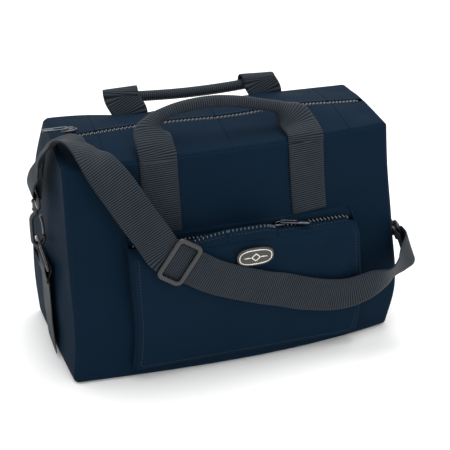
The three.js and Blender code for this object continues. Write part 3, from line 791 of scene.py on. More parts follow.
for hand, name in SIDES:
    xs = np.linspace(FLAP_END, 168.0, 24)
    xs = xs if hand > 0 else -xs[::-1]
    parts = []
    for side in (-1, 1):
        parts.append(tape_strip("tape", xs, side * 0.9, side * 8.5, 1.9))
        shift = 0.0 if side < 0 else TOOTH_PITCH / 2
        line = roof_line(np.linspace(xs[0], xs[-1], 40), side * 0.5, -1.85)
        parts.append(teeth("teeth", line, (0, -side, 0), (0, 0, 1), TOOTH, shift))
    finish_piece(join(f"zip_{name}_end", parts), "bag", "zip_teeth", f"zip_end_{name}")


# ---- rows of stitching ----


def stitches(name, lines, above, material, length=2.6, gap=1.3, radius=0.3):
    """Lock-stitch rows: short rounded threads lying along each line, half sunk in the cloth."""
    verts, faces = [], []
    turn = np.linspace(0, 2 * math.pi, 6, endpoint=False)
    for line in lines:
        line = np.asarray(line, float)
        run = run_length(line)
        up = np.asarray(above, float)
        for begin in np.arange(gap, run[-1] - length, length + gap):
            ends = [begin, begin + 0.2 * length, begin + 0.8 * length, begin + length]
            points = read_along(ends, run, line)
            tangent = unit(points[-1] - points[0])
            side = unit(np.cross(tangent, up))
            out = np.cross(side, tangent)
            start = len(verts)
            for point, share in zip(points, (0.35, 1.0, 1.0, 0.35)):
                for t in turn:
                    verts.append(point + radius * share * (math.cos(t) * side + math.sin(t) * out))
            for ring in range(3):
                for k in range(6):
                    a, b = start + ring * 6 + k, start + ring * 6 + (k + 1) % 6
                    faces.append([a, a + 6, b + 6, b])
            faces.append([start + k for k in range(6)])
            faces.append([start + 18 + k for k in range(5, -1, -1)])
    return make(name, verts, faces, material)


for side, row in ROWS:
    for hand, xs in halves(FLAP_END):
        line = roof_line(np.linspace(xs[0], xs[-1], 100), side * (ZIP_GAP + 2.6), 0.1)
        thread = stitches(f"{row}_flap_stitches_{hand}", [line], (0, 0, 1), THREAD)
        finish_piece(thread, None, "nylon")
        bend_across(thread)

# ---- the front pocket ----

P_LEFT, P_RIGHT = POCKET_LO[0], POCKET_HI[0]
P_LOW = POCKET_LO[2]
P_FRONT_LOW, P_FRONT_HIGH = -98.0, -106.0
M_LEFT, M_RIGHT = MOUTH_LO[0], MOUTH_HI[0]
SLIDER_X = 45.0
ATTACH_TOP = 160.5  # where the pocket's roof is sewn to the front wall
ROLL = 14.0  # radius of the soft fold along the pocket's top


def lip_height(x):
    """How far the slack edge stands above the sill."""
    return 17.0 * smooth(np.clip((x - M_LEFT + 14) / 100, 0, 1)) ** 0.8


def openness(x):
    """1 where the pocket's top is unzipped and stands up, 0 where it is zipped shut."""
    return smooth((x - M_LEFT + 4) / 12) * (1 - smooth((x - 20) / 24))


def droop(x):
    """How far the two top corners of the pocket hang down."""
    return 5.0 * smooth((x - P_RIGHT + 12) / 12)


def pocket_profile(x, q):
    """(y, z) of the pocket's front: q 0 to 1 from its foot to its sill, 1 to 2 from the sill to
    the zip or the standing lip."""
    low = np.clip(q, 0, 1)
    high = np.clip(q - 1, 0, 1)
    slope = (P_FRONT_HIGH - P_FRONT_LOW) / (POCKET_SILL - P_LOW)
    # zipped shut: straight up, then half of the roll below the sill and half above it
    shoulder = POCKET_SILL + 1.0 - ROLL
    turn = np.clip((low - 0.86) / 0.14, 0, 1) * math.pi / 4 + high * math.pi / 4
    straight = np.clip(low / 0.86, 0, 1)
    shut_y = P_FRONT_LOW + slope * (shoulder - P_LOW) * straight + ROLL * (1 - np.cos(turn))
    shut_z = P_LOW + (shoulder - P_LOW) * straight + ROLL * np.sin(turn)
    flat = np.clip((high - 0.75) / 0.25, 0, 1)
    shut_y = shut_y * (1 - flat) + (ZIP_LINE_Y - ZIP_GAP + 1.6) * flat
    # unzipped: straight up to the sill and on into the lip
    open_z = P_LOW + (POCKET_SILL - P_LOW) * low + lip_height(x) * high
    open_y = P_FRONT_LOW + slope * (open_z - P_LOW)
    share = openness(x)
    return shut_y * (1 - share) + open_y * share, shut_z * (1 - share) + open_z * share


def crease(x, z, start, end, width, height):
    """A soft fold of the cloth along a line from start to end."""
    a, b = np.array(start, float), np.array(end, float)
    d = b - a
    t = np.clip(((x - a[0]) * d[0] + (z - a[1]) * d[1]) / (d @ d), 0, 1)
    gap = np.hypot(x - a[0] - t * d[0], z - a[1] - t * d[1])
    return height * np.exp(-((gap / width) ** 2)) * np.sin(math.pi * np.clip(t, 0.06, 0.94)) ** 0.7


def pocket_front(x, q):
    y, z = pocket_profile(x, q)
    off_side = np.minimum(x - P_LEFT, P_RIGHT - x)
    y = y + edge_round(off_side, 4.0, 0.6) + edge_round(q * 139, 4.0, 0.6) * (q < 0.3)
    y -= 1.8 * smooth(off_side / 60) * np.clip(1 - (q - 0.5) ** 2 * 4, 0, 1)
    y -= ripple(x, z, 0.8, 31) * smooth(off_side / 30) * smooth(q / 0.2) * (1 - smooth(q - 0.9))
    y -= crease(x, z, (40, 150), (-22, 116), 9, 2.6)
    y += crease(x, z, (52, 142), (8, 104), 10, 2.0)
    y -= crease(x, z, (116, 147), (96, 92), 10, 1.8)
    y += crease(x, z, (104, 150), (78, 110), 9, 1.5)
    y -= crease(x, z, (-60, 150), (-20, 128), 9, 1.5)
    moved = sag(np.stack([x, np.full_like(x, -HALF_WIDTH), z], -1))
    return np.stack([moved[..., 0], y, z - droop(x) * smooth((z - 95) / 55)], -1)


def pocket_patch(name, xs, qs):
    x, q = np.meshgrid(xs, qs, indexing="ij")
    return slab(name, pocket_front(x, q), 1.6, NYLON)


P_START = 4.0 * (1 - math.sqrt(0.5))
pocket_xs = np.concatenate(
    [
        np.linspace(P_LEFT + P_START, P_LEFT + 8, 9)[:-1],
        np.linspace(P_LEFT + 8, M_LEFT, 6)[:-1],
        np.linspace(M_LEFT, -20, 24)[:-1],
        np.linspace(-20, M_RIGHT, 19)[:-1],
        np.linspace(M_RIGHT, P_RIGHT - 8, 27)[:-1],
        np.linspace(P_RIGHT - 8, P_RIGHT - P_START, 9),
    ]
)
foot_rows = np.concatenate([np.linspace(0.012, 0.06, 7)[:-1], np.linspace(0.06, 1.0, 38)])
lip_rows = np.linspace(1.0, 2.0, 11)
is_left = pocket_xs <= M_LEFT + 0.01
is_mouth_left = (pocket_xs >= M_LEFT - 0.01) & (pocket_xs <= -19.9)
is_mouth_right = (pocket_xs >= -20.1) & (pocket_xs <= M_RIGHT + 0.01)
is_right = pocket_xs >= M_RIGHT - 0.01

front_piece = pocket_patch("pocket_front", pocket_xs, foot_rows)
finish_piece(front_piece, "bag", "nylon", "pocket_front_panel")
finish_piece(
    pocket_patch("pocket_top_left_cloth", pocket_xs[is_left], lip_rows),
    "bag",
    "nylon",
    "pocket_top_left",
)
finish_piece(
    pocket_patch("pocket_top_right_cloth", pocket_xs[is_right], lip_rows),
    "bag",
    "nylon",
    "pocket_top_right",
)


def lip_blend(piece):
    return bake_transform(piece)


for name, mask, fixed, free in (
    ("left", is_mouth_left, M_LEFT, -30.0),
    ("right", is_mouth_right, M_RIGHT, 0.0),
):
    xs = pocket_xs[mask]
    lip = pocket_patch(f"pocket_lip_{name}_half", xs, lip_rows)
    finish_piece(lip, None, "nylon", "pocket_mouth_flap")
    lip_blend(lip)
    fine = np.linspace(xs[0], xs[-1], 90)
    rim = pocket_front(fine, np.full_like(fine, 2.0))
    below = pocket_front(fine, np.full_like(fine, 1.8))
    rim[:, 1] -= 0.9
    heads = rim - below
    heads[:, 2] += 0.5
    # the lip's teeth take the darker tooth colour, which is painted shade
    chain = teeth(f"pocket_lip_teeth_{name}_half", rim, heads, (0, -1, 0.3), SHADED_TOOTH)
    finish_piece(chain, None, "zip_teeth", "pocket_teeth_mouth")
    lip_blend(chain)


def wall_point(x, z, out=0.0):
    """A point on the outside of the soft front wall."""
    x, z = np.broadcast_arrays(np.asarray(x, float), np.asarray(z, float))
    swell = ripple(x, z, 1.0, 4) * smooth(
        np.minimum(HALF_LENGTH - np.abs(x), np.minimum(z, TOP - z)) / 40
    )
    drop = edge_round(TOP - z)
    nominal = np.stack([x, -HALF_WIDTH + drop - swell, z], -1)
    moved = sag(nominal)
    moved[..., 1] -= out
    return moved


def gusset(name, x, hand, node):
    """A side of the pocket, from the front wall out to the pocket's front."""
    q = np.concatenate([np.linspace(0.012, 1.0, 40), np.linspace(1.0, 2.0, 8)[1:]])
    t = np.concatenate([np.linspace(0, 0.8, 7)[:-1], np.linspace(0.8, 1, 6)])
    edge = pocket_front(np.full_like(q, x), q)
    foot_z = edge[:, 2] + 9.0 * smooth(q - 1) + 1.0 * smooth(q)
    root = wall_point(np.full_like(q, x - hand * P_START), foot_z, -0.4)
    grid = root[:, None, :] * (1 - t[None, :, None]) + edge[:, None, :] * t[None, :, None]
    belly = np.sin(math.pi * t)[None, :] * 1.6
    grid[..., 0] += hand * (belly - edge_round((1 - t[None, :]) * 22, 4.0, 0.0))
    grid[:, :, 0] += hand * P_START
    if hand > 0:
        grid = grid[:, ::-1]
    return finish_piece(slab(name, grid[::-1], 1.4, NYLON), "bag", "nylon", node)


gusset("pocket_left_side", P_LEFT + P_START, -1, "pocket_left_gusset")
gusset("pocket_right_side", P_RIGHT - P_START, 1, "pocket_right_gusset")


def pocket_floor():
    x, t = np.meshgrid(pocket_xs, np.linspace(0, 1, 8), indexing="ij")
    edge = pocket_front(pocket_xs, np.full_like(pocket_xs, 0.012))
    root = wall_point(pocket_xs, np.full_like(pocket_xs, P_LOW - 2.0), -0.4)
    grid = edge[:, None, :] * (1 - t[..., None]) + root[:, None, :] * t[..., None]
    return slab("pocket_floor", grid[:, ::-1], 1.4, NYLON)


finish_piece(pocket_floor(), "bag", "nylon", "pocket_bottom_gusset")


def pocket_shelf():
    """The strip behind the pocket's zip, rising to its seam on the front wall."""
    xs = pocket_xs
    t = np.linspace(0, 1, 9)
    near = np.stack([xs, np.full_like(xs, ZIP_LINE_Y + ZIP_GAP - 1.6), np.full_like(xs, 151.6)], -1)
    near[:, 0] = wall_point(xs, 151.6)[:, 0]
    near[:, 2] -= droop(xs)
    far = wall_point(xs, ATTACH_TOP - droop(xs), -0.3)
    bow = np.sin(math.pi * t) * 1.6
    grid = near[:, None, :] * (1 - t[None, :, None]) + far[:, None, :] * t[None, :, None]
    grid[..., 1] -= bow[None, :] * 0.5
    grid[..., 2] += bow[None, :]
    return slab("pocket_shelf", grid, 1.4, NYLON)


finish_piece(pocket_shelf(), "bag", "nylon", "pocket_top_rear")


def pocket_zip_line(from_x, to_x, side, count=80):
    xs = np.linspace(from_x, to_x, count)
    line = np.stack([xs, np.full_like(xs, ZIP_LINE_Y + side * 0.5), np.full_like(xs, 151.2)], -1)
    line[:, 0] = wall_point(xs, 151.2)[:, 0]
    line[:, 2] -= droop(xs)
    return line


def pocket_tape(name, from_x, to_x, side):
    line = pocket_zip_line(from_x, to_x, 0)
    offsets = np.linspace(0.9, 7.0, 5) if side > 0 else np.linspace(-7.0, -0.9, 5)
    grid = line[:, None, :] + np.array([[0, o, 0] for o in offsets])[None, :, :]
    grid[..., 2] -= 0.3
    return slab(name, grid, 0.6, TAPE)


rear_chain = join(
    "pocket_zip_rear",
    [
        teeth("t", pocket_zip_line(P_LEFT + 5, P_RIGHT - 6, 1), (0, -1, 0), (0, 0, 1), TOOTH),
        pocket_tape("p", P_LEFT + 4, P_RIGHT - 4, 1),
    ],
)
finish_piece(rear_chain, "bag", "zip_teeth", "pocket_teeth_rear")
right_chain = join(
    "pocket_zip_right",
    [
        teeth(
            "t",
            pocket_zip_line(SLIDER_X, P_RIGHT - 6, -1),
            (0, 1, 0),
            (0, 0, 1),
            TOOTH,
            TOOTH_PITCH / 2,
        ),
        pocket_tape("p", SLIDER_X, P_RIGHT - 4, -1),
    ],
)
finish_piece(right_chain, "bag", "zip_teeth", "pocket_teeth_right")

pocket_rows = [
    pocket_front(np.full(60, P_RIGHT - 6.5), np.linspace(0.04, 0.98, 60)) + (0, -0.1, 0),
    pocket_front(np.full(60, P_LEFT + 6.5), np.linspace(0.04, 0.98, 60)) + (0, -0.1, 0),
    pocket_front(np.linspace(P_LEFT + 6.5, P_RIGHT - 6.5, 120), np.full(120, 0.04)) + (0, -0.1, 0),
]
finish_piece(stitches("pocket_stitches", pocket_rows, (0, -1, 0), THREAD), "bag", "nylon")
shelf_xs = np.linspace(M_RIGHT + 2, P_RIGHT - 8, 60)
shelf_row = pocket_front(shelf_xs, np.full(60, 1.72)) + (0, 0, 0.15)
finish_piece(stitches("pocket_zip_stitches", [shelf_row], (0, 0, 1), THREAD), "bag", "nylon")
for name, xs, fixed, free in (
    ("left", np.linspace(M_LEFT + 2, -21, 70), M_LEFT, -30.0),
    ("right", np.linspace(-19, M_RIGHT - 2, 50), M_RIGHT, 0.0),
):
    row = pocket_front(xs, np.full(len(xs), 1.62)) + (0, -0.1, 0)
    thread = stitches(f"pocket_lip_stitches_{name}", [row], (0, -1, 0), THREAD)
    finish_piece(thread, None, "nylon")
    lip_blend(thread)

# ---- the badge ----

BADGE_X, BADGE_Z = 7.5, 134.0


def on_pocket(a, b, lift):
    """A point at (a, b) of the badge's own face, `lift` off the pocket's cloth."""
    a, b = np.broadcast_arrays(np.asarray(a, float), np.asarray(b, float))
    q = (BADGE_Z - P_LOW) / (POCKET_SILL - P_LOW)
    centre = pocket_front(np.array(BADGE_X), np.array(q))
    tilt = math.atan2(P_FRONT_LOW - P_FRONT_HIGH, POCKET_SILL - P_LOW)
    up = np.array([0, -math.sin(tilt), math.cos(tilt)])
    out = np.array([0, -math.cos(tilt), -math.sin(tilt)])
    return (
        centre
        + np.array([1.0, 0, 0]) * a[..., None]
        + up * b[..., None]
        + out * np.asarray(lift)[..., None]
    )


def oval(half_wide, half_high, count=56, power=0.75):
    turn = np.linspace(0, 2 * math.pi, count, endpoint=False)
    return half_wide * squared(np.cos(turn), power), half_high * squared(np.sin(turn), power)


def badge():
    rings = []
    dome = [(0.985, 0.0), (1.0, 0.5), (0.99, 1.4), (0.95, 2.0), (0.9, 2.15), (0.6, 2.4), (0.2, 2.5)]
    for share, lift in dome:
        a, b = oval(20 * share, 10.5 * share)
        rings.append(on_pocket(a, b, np.full_like(a, lift)))
    plate = loft("badge_body", np.array(rings), BADGE)
    finish_piece(plate, "bag", "badge", "badge_plate")
    a, b = oval(17.2, 8.0, 72)
    path = on_pocket(a, b, np.full_like(a, 2.15))
    border = tube("border", path, (0, -1, 0), round_section(0.7, 1.1, 8), TRIM, closed=True)
    bar = [on_pocket(x, 0.0, 2.5) for x in (-12.5, -8, -5.2)]
    left = tube("left", np.array(bar), (0, 0, 1), round_section(1.3, 0.9, 8), TRIM)
    bar = [on_pocket(x, 0.0, 2.5) for x in (5.2, 8, 12.5)]
    right = tube("right", np.array(bar), (0, 0, 1), round_section(1.3, 0.9, 8), TRIM)
    corners = [(-4.6, 0), (0, -4.2), (4.6, 0), (0, 4.2)]
    path = []
    for i, (a0, b0) in enumerate(corners):
        a1, b1 = corners[(i + 1) % 4]
        for t in (0.06, 0.5, 0.94):
            path.append(on_pocket(a0 + (a1 - a0) * t, b0 + (b1 - b0) * t, 2.55))
    wire = round_section(0.9, 1.3, 8)
    diamond = tube("diamond", np.array(path), (0, -1, 0), wire, TRIM, closed=True)
    finish_piece(join("badge_mark", [border, left, right, diamond]), "bag", "trim", "badge_emblem")


badge()

# ---- legs and handles ----

for hand, name in SIDES:
    z = np.arange(ATTACH_TOP + 1.0, TOP - 3.0, RIB_PITCH / 4)
    path = wall_point(np.full_like(z, hand * LEG_X), z, 1.1)
    side = sag([[hand * LEG_X + 19, -HALF_WIDTH, 200]]) - sag([[hand * LEG_X - 19, -HALF_WIDTH, 200]])
    leg = ribbed(f"front_leg_webbing_{name}", path, side[0], WEB_WIDTH, WEB)
    finish_piece(leg, "bag", "webbing", f"front_leg_{name}")

    z = np.arange(10.0, TOP - 3.0, RIB_PITCH / 4)
    nominal = np.stack([np.full_like(z, hand * LEG_X), np.full_like(z, HALF_WIDTH), z], -1)
    drop = edge_round(z) + edge_round(TOP - z)
    nominal[:, 1] += 1.3 - drop + ripple(nominal[:, 0], z, 1.0, 6) * smooth(np.minimum(z, TOP - z) / 40)
    leg = ribbed(f"rear_leg_webbing_{name}", sag(nominal), (-1, 0, 0), WEB_WIDTH, WEB)
    finish_piece(leg, "bag", "webbing", f"rear_leg_{name}")


GRIP_WIDTH = 33.0  # the part of the rolled webbing's width that shows round the grip


def handle(name, stations, nodes):
    """One length of webbing: flat where it is sewn, rolled into a tube for the hand.
    Stations are (point, side, share of a full roll)."""
    path, extra, _ = spline(
        [s[0] for s in stations],
        [list(s[1]) + [s[2]] for s in stations],
        RIB_PITCH / 4,
    )
    roll = np.clip(extra[:, 3], 0, 0.97)
    width = WEB_WIDTH + (GRIP_WIDTH - WEB_WIDTH) * smooth(roll)
    curl = roll * 2 * math.pi
    piece = ribbed(name, path, extra[:, :3], width, WEB, curl=curl, flip=-1.0)
    finish_piece(piece, None, "webbing", *nodes)
    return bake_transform(piece)


front_foot = {hand: wall_point(hand * LEG_X, TOP - 5.0, 1.1) for hand in (-1, 1)}
IN_FRONT = (0, -0.7, -0.7)
FRONT_STATIONS = [
    (front_foot[-1], (1, 0, 0), 0.0),
    (front_foot[-1] + (0, 1.5, 7), (1, 0, 0), 0.0),
    ((-81.5, -72, 253.5), (1, 0, 0), 0.03),
    ((-81.5, -64.5, 261), (1, -0.05, -0.05), 0.12),
    ((-80.5, -57, 268), (0.9, -0.25, -0.3), 0.38),
    ((-75, -52, 274), (0.5, -0.6, -0.6), 0.74),
    ((-65, -50, 278.6), IN_FRONT, 0.95),
    ((-44, -50, 283.5), IN_FRONT, 0.97),
    ((-13, -50, 285.2), IN_FRONT, 0.97),
    ((18, -50, 281), IN_FRONT, 0.97),
    ((35, -50, 276.6), IN_FRONT, 0.97),
    ((48, -50, 273.4), IN_FRONT, 0.96),
    ((56, -50.5, 271), (-0.3, -0.65, -0.65), 0.8),
    ((62, -52.5, 267.5), (-0.6, -0.5, -0.5), 0.5),
    ((68, -55.5, 262.5), (-0.85, -0.35, -0.35), 0.22),
    ((73, -60, 254), (-0.97, -0.15, -0.15), 0.06),
    (front_foot[1] + (0, 2.0, 8), (-1, 0, 0), 0.0),
    (front_foot[1], (-1, 0, 0), 0.0),
]
handle(
    "front_handle_webbing",
    FRONT_STATIONS,
    ["front_riser_left", "front_riser_right", "front_grip"],
)


def rear_foot(hand):
    drop = float(edge_round(5.0))
    return sag([[hand * LEG_X, HALF_WIDTH + 1.3 - drop, TOP - 5.0]])[0]


REAR_GRIP_LO, REAR_GRIP_HI = node_box("rear_grip")
REAR_AXIS = (REAR_GRIP_LO + REAR_GRIP_HI) / 2
BEHIND = (0, -0.8, 0.6)


def rear_riser(hand, name):
    """Flat webbing that rises behind the roof and wraps round the end of the rolled grip."""
    foot = rear_foot(hand)
    y, z = REAR_AXIS[1:]
    turns = np.radians([175, 140, 105, 70, 35, 0, -35, -70, -100, -125])
    reach = np.linspace(8.0, 6.9, len(turns))
    x = hand * LEG_X
    stations = [tuple(foot), (foot[0], foot[1] + 0.4, foot[2] + 5)]
    for i, (t, r) in enumerate(zip(turns, reach)):
        stations.append((x - hand * i * 0.45, y + r * math.cos(t), z + r * math.sin(t)))
    tilt = [(-1, 0, 0)] * 2 + [(-1, 0, 0.012 * i * hand) for i in range(len(turns))]
    path, sides, _ = spline(stations, tilt, RIB_PITCH / 4)
    piece = ribbed(f"rear_riser_webbing_{name}", path, sides, WEB_WIDTH, WEB)
    finish_piece(piece, None, "webbing", f"rear_riser_{name}")
    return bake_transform(piece)


rear_riser(-1, "left")
rear_riser(1, "right")


def rear_grip():
    """The rolled grip between the two risers, sagging a little in the middle."""
    xs = np.array([-93, -80, -66, -45, -5, 35, 62, 80, 93])
    sag_down = 5.5 * (1 - (xs / 95) ** 2)
    lift, back = 4.0, 3.2
    points = [(x, REAR_AXIS[1] + back, REAR_AXIS[2] + lift - d) for x, d in zip(xs, sag_down)]
    path, _, _ = spline(points, np.zeros((len(points), 1)), RIB_PITCH / 4)
    curl = np.full(len(path), 0.97 * 2 * math.pi)
    piece = ribbed("rear_grip_roll", path, BEHIND, GRIP_WIDTH - 1.5, WEB, curl=curl, flip=-1.0)
    return finish_piece(piece, "rear_handle", "webbing", "rear_grip")


rear_grip()

# ---- rings, hooks and the webbing at the two ends ----


def end_point(hand, y, z, out=0.0):
    """A point on the outside of a soft end wall."""
    y, z = np.broadcast_arrays(np.asarray(y, float), np.asarray(z, float))
    drop = edge_round(z) + edge_round(TOP - z)
    off_seam = np.minimum(HALF_WIDTH - np.abs(y), np.minimum(z, TOP - z))
    swell = ripple(y, z, 1.0, 3 + hand) * smooth(off_seam / 40)
    nominal = np.stack([hand * (HALF_LENGTH - drop + swell), y, z], -1)
    moved = sag(nominal)
    moved[..., 0] += hand * out
    return moved


def ring_outline(side, depth, half, steps=5):
    corners = [(-half, 0, 4), (half, 0, 4), (half, side, 6), (7, depth, 6), (-7, depth, 6), (-half, side, 6)]
    points = []
    for i, (a, b, r) in enumerate(corners):
        here = np.array([a, b], float)
        before = unit(np.array(corners[i - 1][:2]) - here)
        after = unit(np.array(corners[(i + 1) % 6][:2]) - here)
        opening = math.acos(before @ after) / 2
        start, end = here + before * r / math.tan(opening), here + after * r / math.tan(opening)
        centre = here + unit(before + after) * r / math.sin(opening)
        for k in range(steps + 1):
            mix = unit(start + (end - start) * k / steps - centre)
            points.append(centre + mix * r)
    return np.array(points)


Y = np.array([0.0, 1.0, 0.0])
LEANS = {-1: math.radians(10), 1: math.radians(20)}


def end_hardware(hand, name):
    bar = joint_point(f"{name}_ring_swing")
    lean = LEANS[hand]
    up = np.array([hand * math.sin(lean), 0, math.cos(lean)])
    outline = ring_outline(12.0, 23.0, 30.0)
    path = bar + outline[:, :1] * Y + outline[:, 1:] * up
    wire = round_section(3.6, 3.2, 12)
    ring = tube(f"{name}_ring_loop", path, np.cross(Y, up), wire, PLASTIC, closed=True)
    finish_piece(ring, f"{name}_ring", "plastic", f"{name}_ring")

    z = np.arange(4.0, bar[2] - 12, RIB_PITCH / 4)
    rise = end_point(hand, np.zeros_like(z), z)
    across_web = (-END_WEB_WIDTH / 2, -END_WEB_WIDTH / 4, 0.0, END_WEB_WIDTH / 4, END_WEB_WIDTH / 2)
    reach = [hand * end_point(hand, np.full_like(z, y), z, 1.2)[:, 0] for y in across_web]
    rise[:, 0] = hand * np.max(reach, axis=0)
    width_turn = np.array([0, float(-hand), 0])
    turns = np.linspace(0, math.pi, 9)
    inward, upward = np.array([-hand, 0, 0]), np.array([0, 0, 1])
    over = [bar + 3.2 * (math.cos(a) * inward + math.sin(a) * upward) for a in turns]
    down = [
        bar + np.array([hand * 2.4, 0, -8]),
        rise[-1] + np.array([hand * 2.2, 0, 2.0]),
        rise[-12] + np.array([hand * 1.9, 0, 0]),
    ]
    rows = np.linspace(0, len(rise) - 1, 8).astype(int)
    stations = [*rise[rows], *over[::2], *down]
    path, _, _ = spline(stations, np.tile(width_turn, (len(stations), 1)), RIB_PITCH / 4)
    strip = ribbed(f"{name}_end_strip", path, width_turn, END_WEB_WIDTH, WEB, thick=1.4)
    finish_piece(strip, "bag", "webbing", f"{name}_end_webbing", f"{name}_ring_chape")


end_hardware(-1, "left")
end_hardware(1, "right")


def hook_frame(name, hand):
    """Origin, across, along and plane directions of a snap hook, from its joints."""
    origin = joint_point(f"{name}_hook_swivel")
    along = joint_axis(f"{name}_hook_swivel")
    plane = joint_axis(f"{name}_gate_snap") * hand
    across = np.cross(along, plane)
    return origin, across, along, plane


def hook(name, hand, bar):
    origin, u, v, plane = hook_frame(name, hand)

    def at(a, b):
        return origin + u * a + v * b

    turns = np.linspace(-math.pi, 0, 15)
    curl = [at(6 * math.cos(t), 6 * math.sin(t)) for t in turns]
    spine = [(0, 33), (0, 31), (-2, 29.4), (-4.6, 27), (-5.9, 24), (-6.1, 18), (-6.1, 10), (-6, 4)]
    stem = [at(a, b) for a, b in spine]
    path = np.array(stem + curl + [at(6, 1.6), at(6, 3.6)])
    count = len(path)
    width = np.interp(np.arange(count), [0, 3, 8, count - 1], [5.6, 6.4, 5.4, 4.6])
    section = np.stack([round_section(w, 4.4, 14, 3.2) for w in width])
    body = tube(f"{name}_hook_body", path, plane, section, PLASTIC)
    finish_piece(body, f"{name}_hook", "plastic", f"{name}_hook")

    path, _, _ = spline([at(6, 4.5), at(6.1, 11), at(5.6, 18), at(3.9, 27.2)], np.zeros((4, 1)), 1.2)
    gate = tube(f"{name}_gate_lever", path, plane, round_section(4.4, 2.9, 12, 3.0), PLASTIC)
    finish_piece(gate, f"{name}_gate", "plastic", f"{name}_gate")

    # swivel barrel with a collar at each end, and the loop that the webbing goes through
    radii = [(33.5, 3.2), (33.9, 4.2), (35.6, 4.6), (36.2, 3.9), (37.0, 3.7)]
    radii += [(42.0, 3.7), (42.8, 4.3), (44.6, 4.5), (45.6, 3.8)]
    rings = []
    for height, radius in radii:
        angle = np.linspace(0, 2 * math.pi, 20, endpoint=False)[:, None]
        rings.append(at(0, height) + radius * (np.cos(angle) * u + np.sin(angle) * plane))
    barrel = loft("barrel", np.array(rings), PLASTIC)
    b = unit(bar)
    corner = 2.6
    x, low, high = 23 - corner, 45.8 + corner, 56.2 - corner
    corners = [(-x, low, -math.pi), (x, low, -math.pi / 2), (x, high, 0), (-x, high, math.pi / 2)]
    outline = np.array([at(0, d) + b * c for c, d in rounded_outline(corners, corner, 4)])
    bar_section = round_section(3.8, 3.2, 12, 3.0)
    loop = tube("loop", outline, np.cross(b, v), bar_section, PLASTIC, closed=True)
    finish_piece(join(f"{name}_eye_and_barrel", [barrel, loop]), "bag", "plastic", f"{name}_hook_eye")
    return at(0, 56.0)


LEFT_EYE = hook("left", -1, Y)
right_axis = joint_axis("right_hook_swivel")
RIGHT_BAR = np.array([-0.35, 0.0, 0.94])
RIGHT_BAR = unit(RIGHT_BAR - (RIGHT_BAR @ right_axis) * right_axis)
RIGHT_EYE = hook("right", 1, RIGHT_BAR)

# ---- the shoulder strap ----

ALONG = joint_axis("adjuster_slide")
ACROSS = np.array([-ALONG[2], 0, ALONG[0]])
ADJ_LO, ADJ_HI = node_box("strap_adjuster")
ADJ_OUT = np.cross(ALONG, ACROSS)
ADJ_CENTRE = (ADJ_LO + ADJ_HI) / 2 - ADJ_OUT * 0.5


def beside(distance):
    return tuple(ADJ_CENTRE + ALONG * distance)


def strap():
    flat = tuple(ACROSS)
    left, right = LEFT_EYE, RIGHT_EYE
    b, d = RIGHT_BAR, right_axis
    n = unit(np.cross(b, d))
    x = np.array([1.0, 0, 0])
    up = np.array([0, 0, 1.0])
    stations = [
        # the inner ply, down from its stitching, round the eye's bar and up outside
        ((-181.5, -7, 219), (0.15, 0.98, -0.15)),
        ((-183.6, -2.5, 208), (0.05, 1, 0)),
        ((-186.0, 0, 199), Y),
        (left + up * 3 + x * 4.3, Y),
        (left - up * 1.8 + x * 3.3, Y),
        (left - up * 3.6, Y),
        (left - up * 1.8 - x * 3.3, Y),
        (left + up * 3 - x * 4.2, Y),
        ((-193.6, 0, 201), Y),
        ((-188.4, -3, 211), (0.05, 1, 0)),
        ((-184.6, -9, 223), (0.15, 0.98, -0.15)),
        ((-180, -20, 238), (0.25, 0.95, -0.17)),
        ((-172.5, -33, 250.5), (0.28, 0.93, -0.23)),
        ((-165.0, -44, 258), (0.3, 0.92, -0.27)),
        ((-159.5, -54, 260), (0.37, 0.9, -0.24)),
        ((-152.5, -64, 256.5), (0.47, 0.88, -0.1)),
        ((-146.5, -73, 250.5), (0.59, 0.8, 0.08)),
        ((-139.3, -81, 243), (0.67, 0.6, 0.4)),
        ((-132.2, -88, 232.6), (0.66, 0.4, 0.62)),
        ((-124.2, -94, 220), (0.63, 0.2, 0.75)),
        ((-115.6, -100, 205), (0.62, 0.05, 0.78)),
        ((-105.7, -105, 188), (0.6, 0, 0.8)),
        ((-95.0, -109, 171), (0.58, 0, 0.81)),
        (beside(-17), flat),
        (beside(-8), flat),
        (beside(8), flat),
        (beside(22), flat),
        (beside(40), flat),
        ((-16, -111, 110.5), (0.48, 0, 0.88)),
        ((3, -110, 102.5), (0.45, 0, 0.89)),
        ((22, -110, 95.5), (0.42, 0, 0.9)),
        ((41.7, -109.5, 89.5), (0.37, 0.05, 0.92)),
        ((62, -109.5, 82), (0.27, 0.03, 0.96)),
        ((81.6, -109.5, 76.4), (0.13, -0.03, 0.99)),
        ((101.8, -109.5, 72.6), (-0.02, -0.05, 1)),
        ((118, -109.5, 72.4), (-0.14, -0.08, 0.98)),
        ((131.8, -110, 75.6), (-0.2, -0.12, 0.97)),
        ((144.8, -111, 80.5), (-0.23, -0.23, 0.94)),
        ((156.3, -112, 85), (-0.23, -0.44, 0.86)),
        ((166, -112.5, 90.5), (-0.25, -0.6, 0.74)),
        ((176, -111.5, 98), (-0.35, -0.45, 0.8)),
        ((184, -107.5, 106), (-0.38, -0.12, 0.9)),
        (right + d * 12 + n * 3.6, b),
        (right + d * 4 + n * 4.2, b),
        (right - d * 1.6 + n * 3.4, b),
        (right - d * 3.6, b),
        (right - d * 1.6 - n * 3.4, b),
        (right + d * 4 - n * 4.2, b),
        (right + d * 12 - n * 3.2, b),
    ]
    path, sides, _ = spline([s[0] for s in stations], [s[1] for s in stations], RIB_PITCH / 4)
    piece = ribbed("shoulder_strap", path, sides, WEB_WIDTH, WEB)
    return finish_piece(piece, "bag", "webbing", "strap_webbing", "strap_left_end", "strap_right_end")


strap()


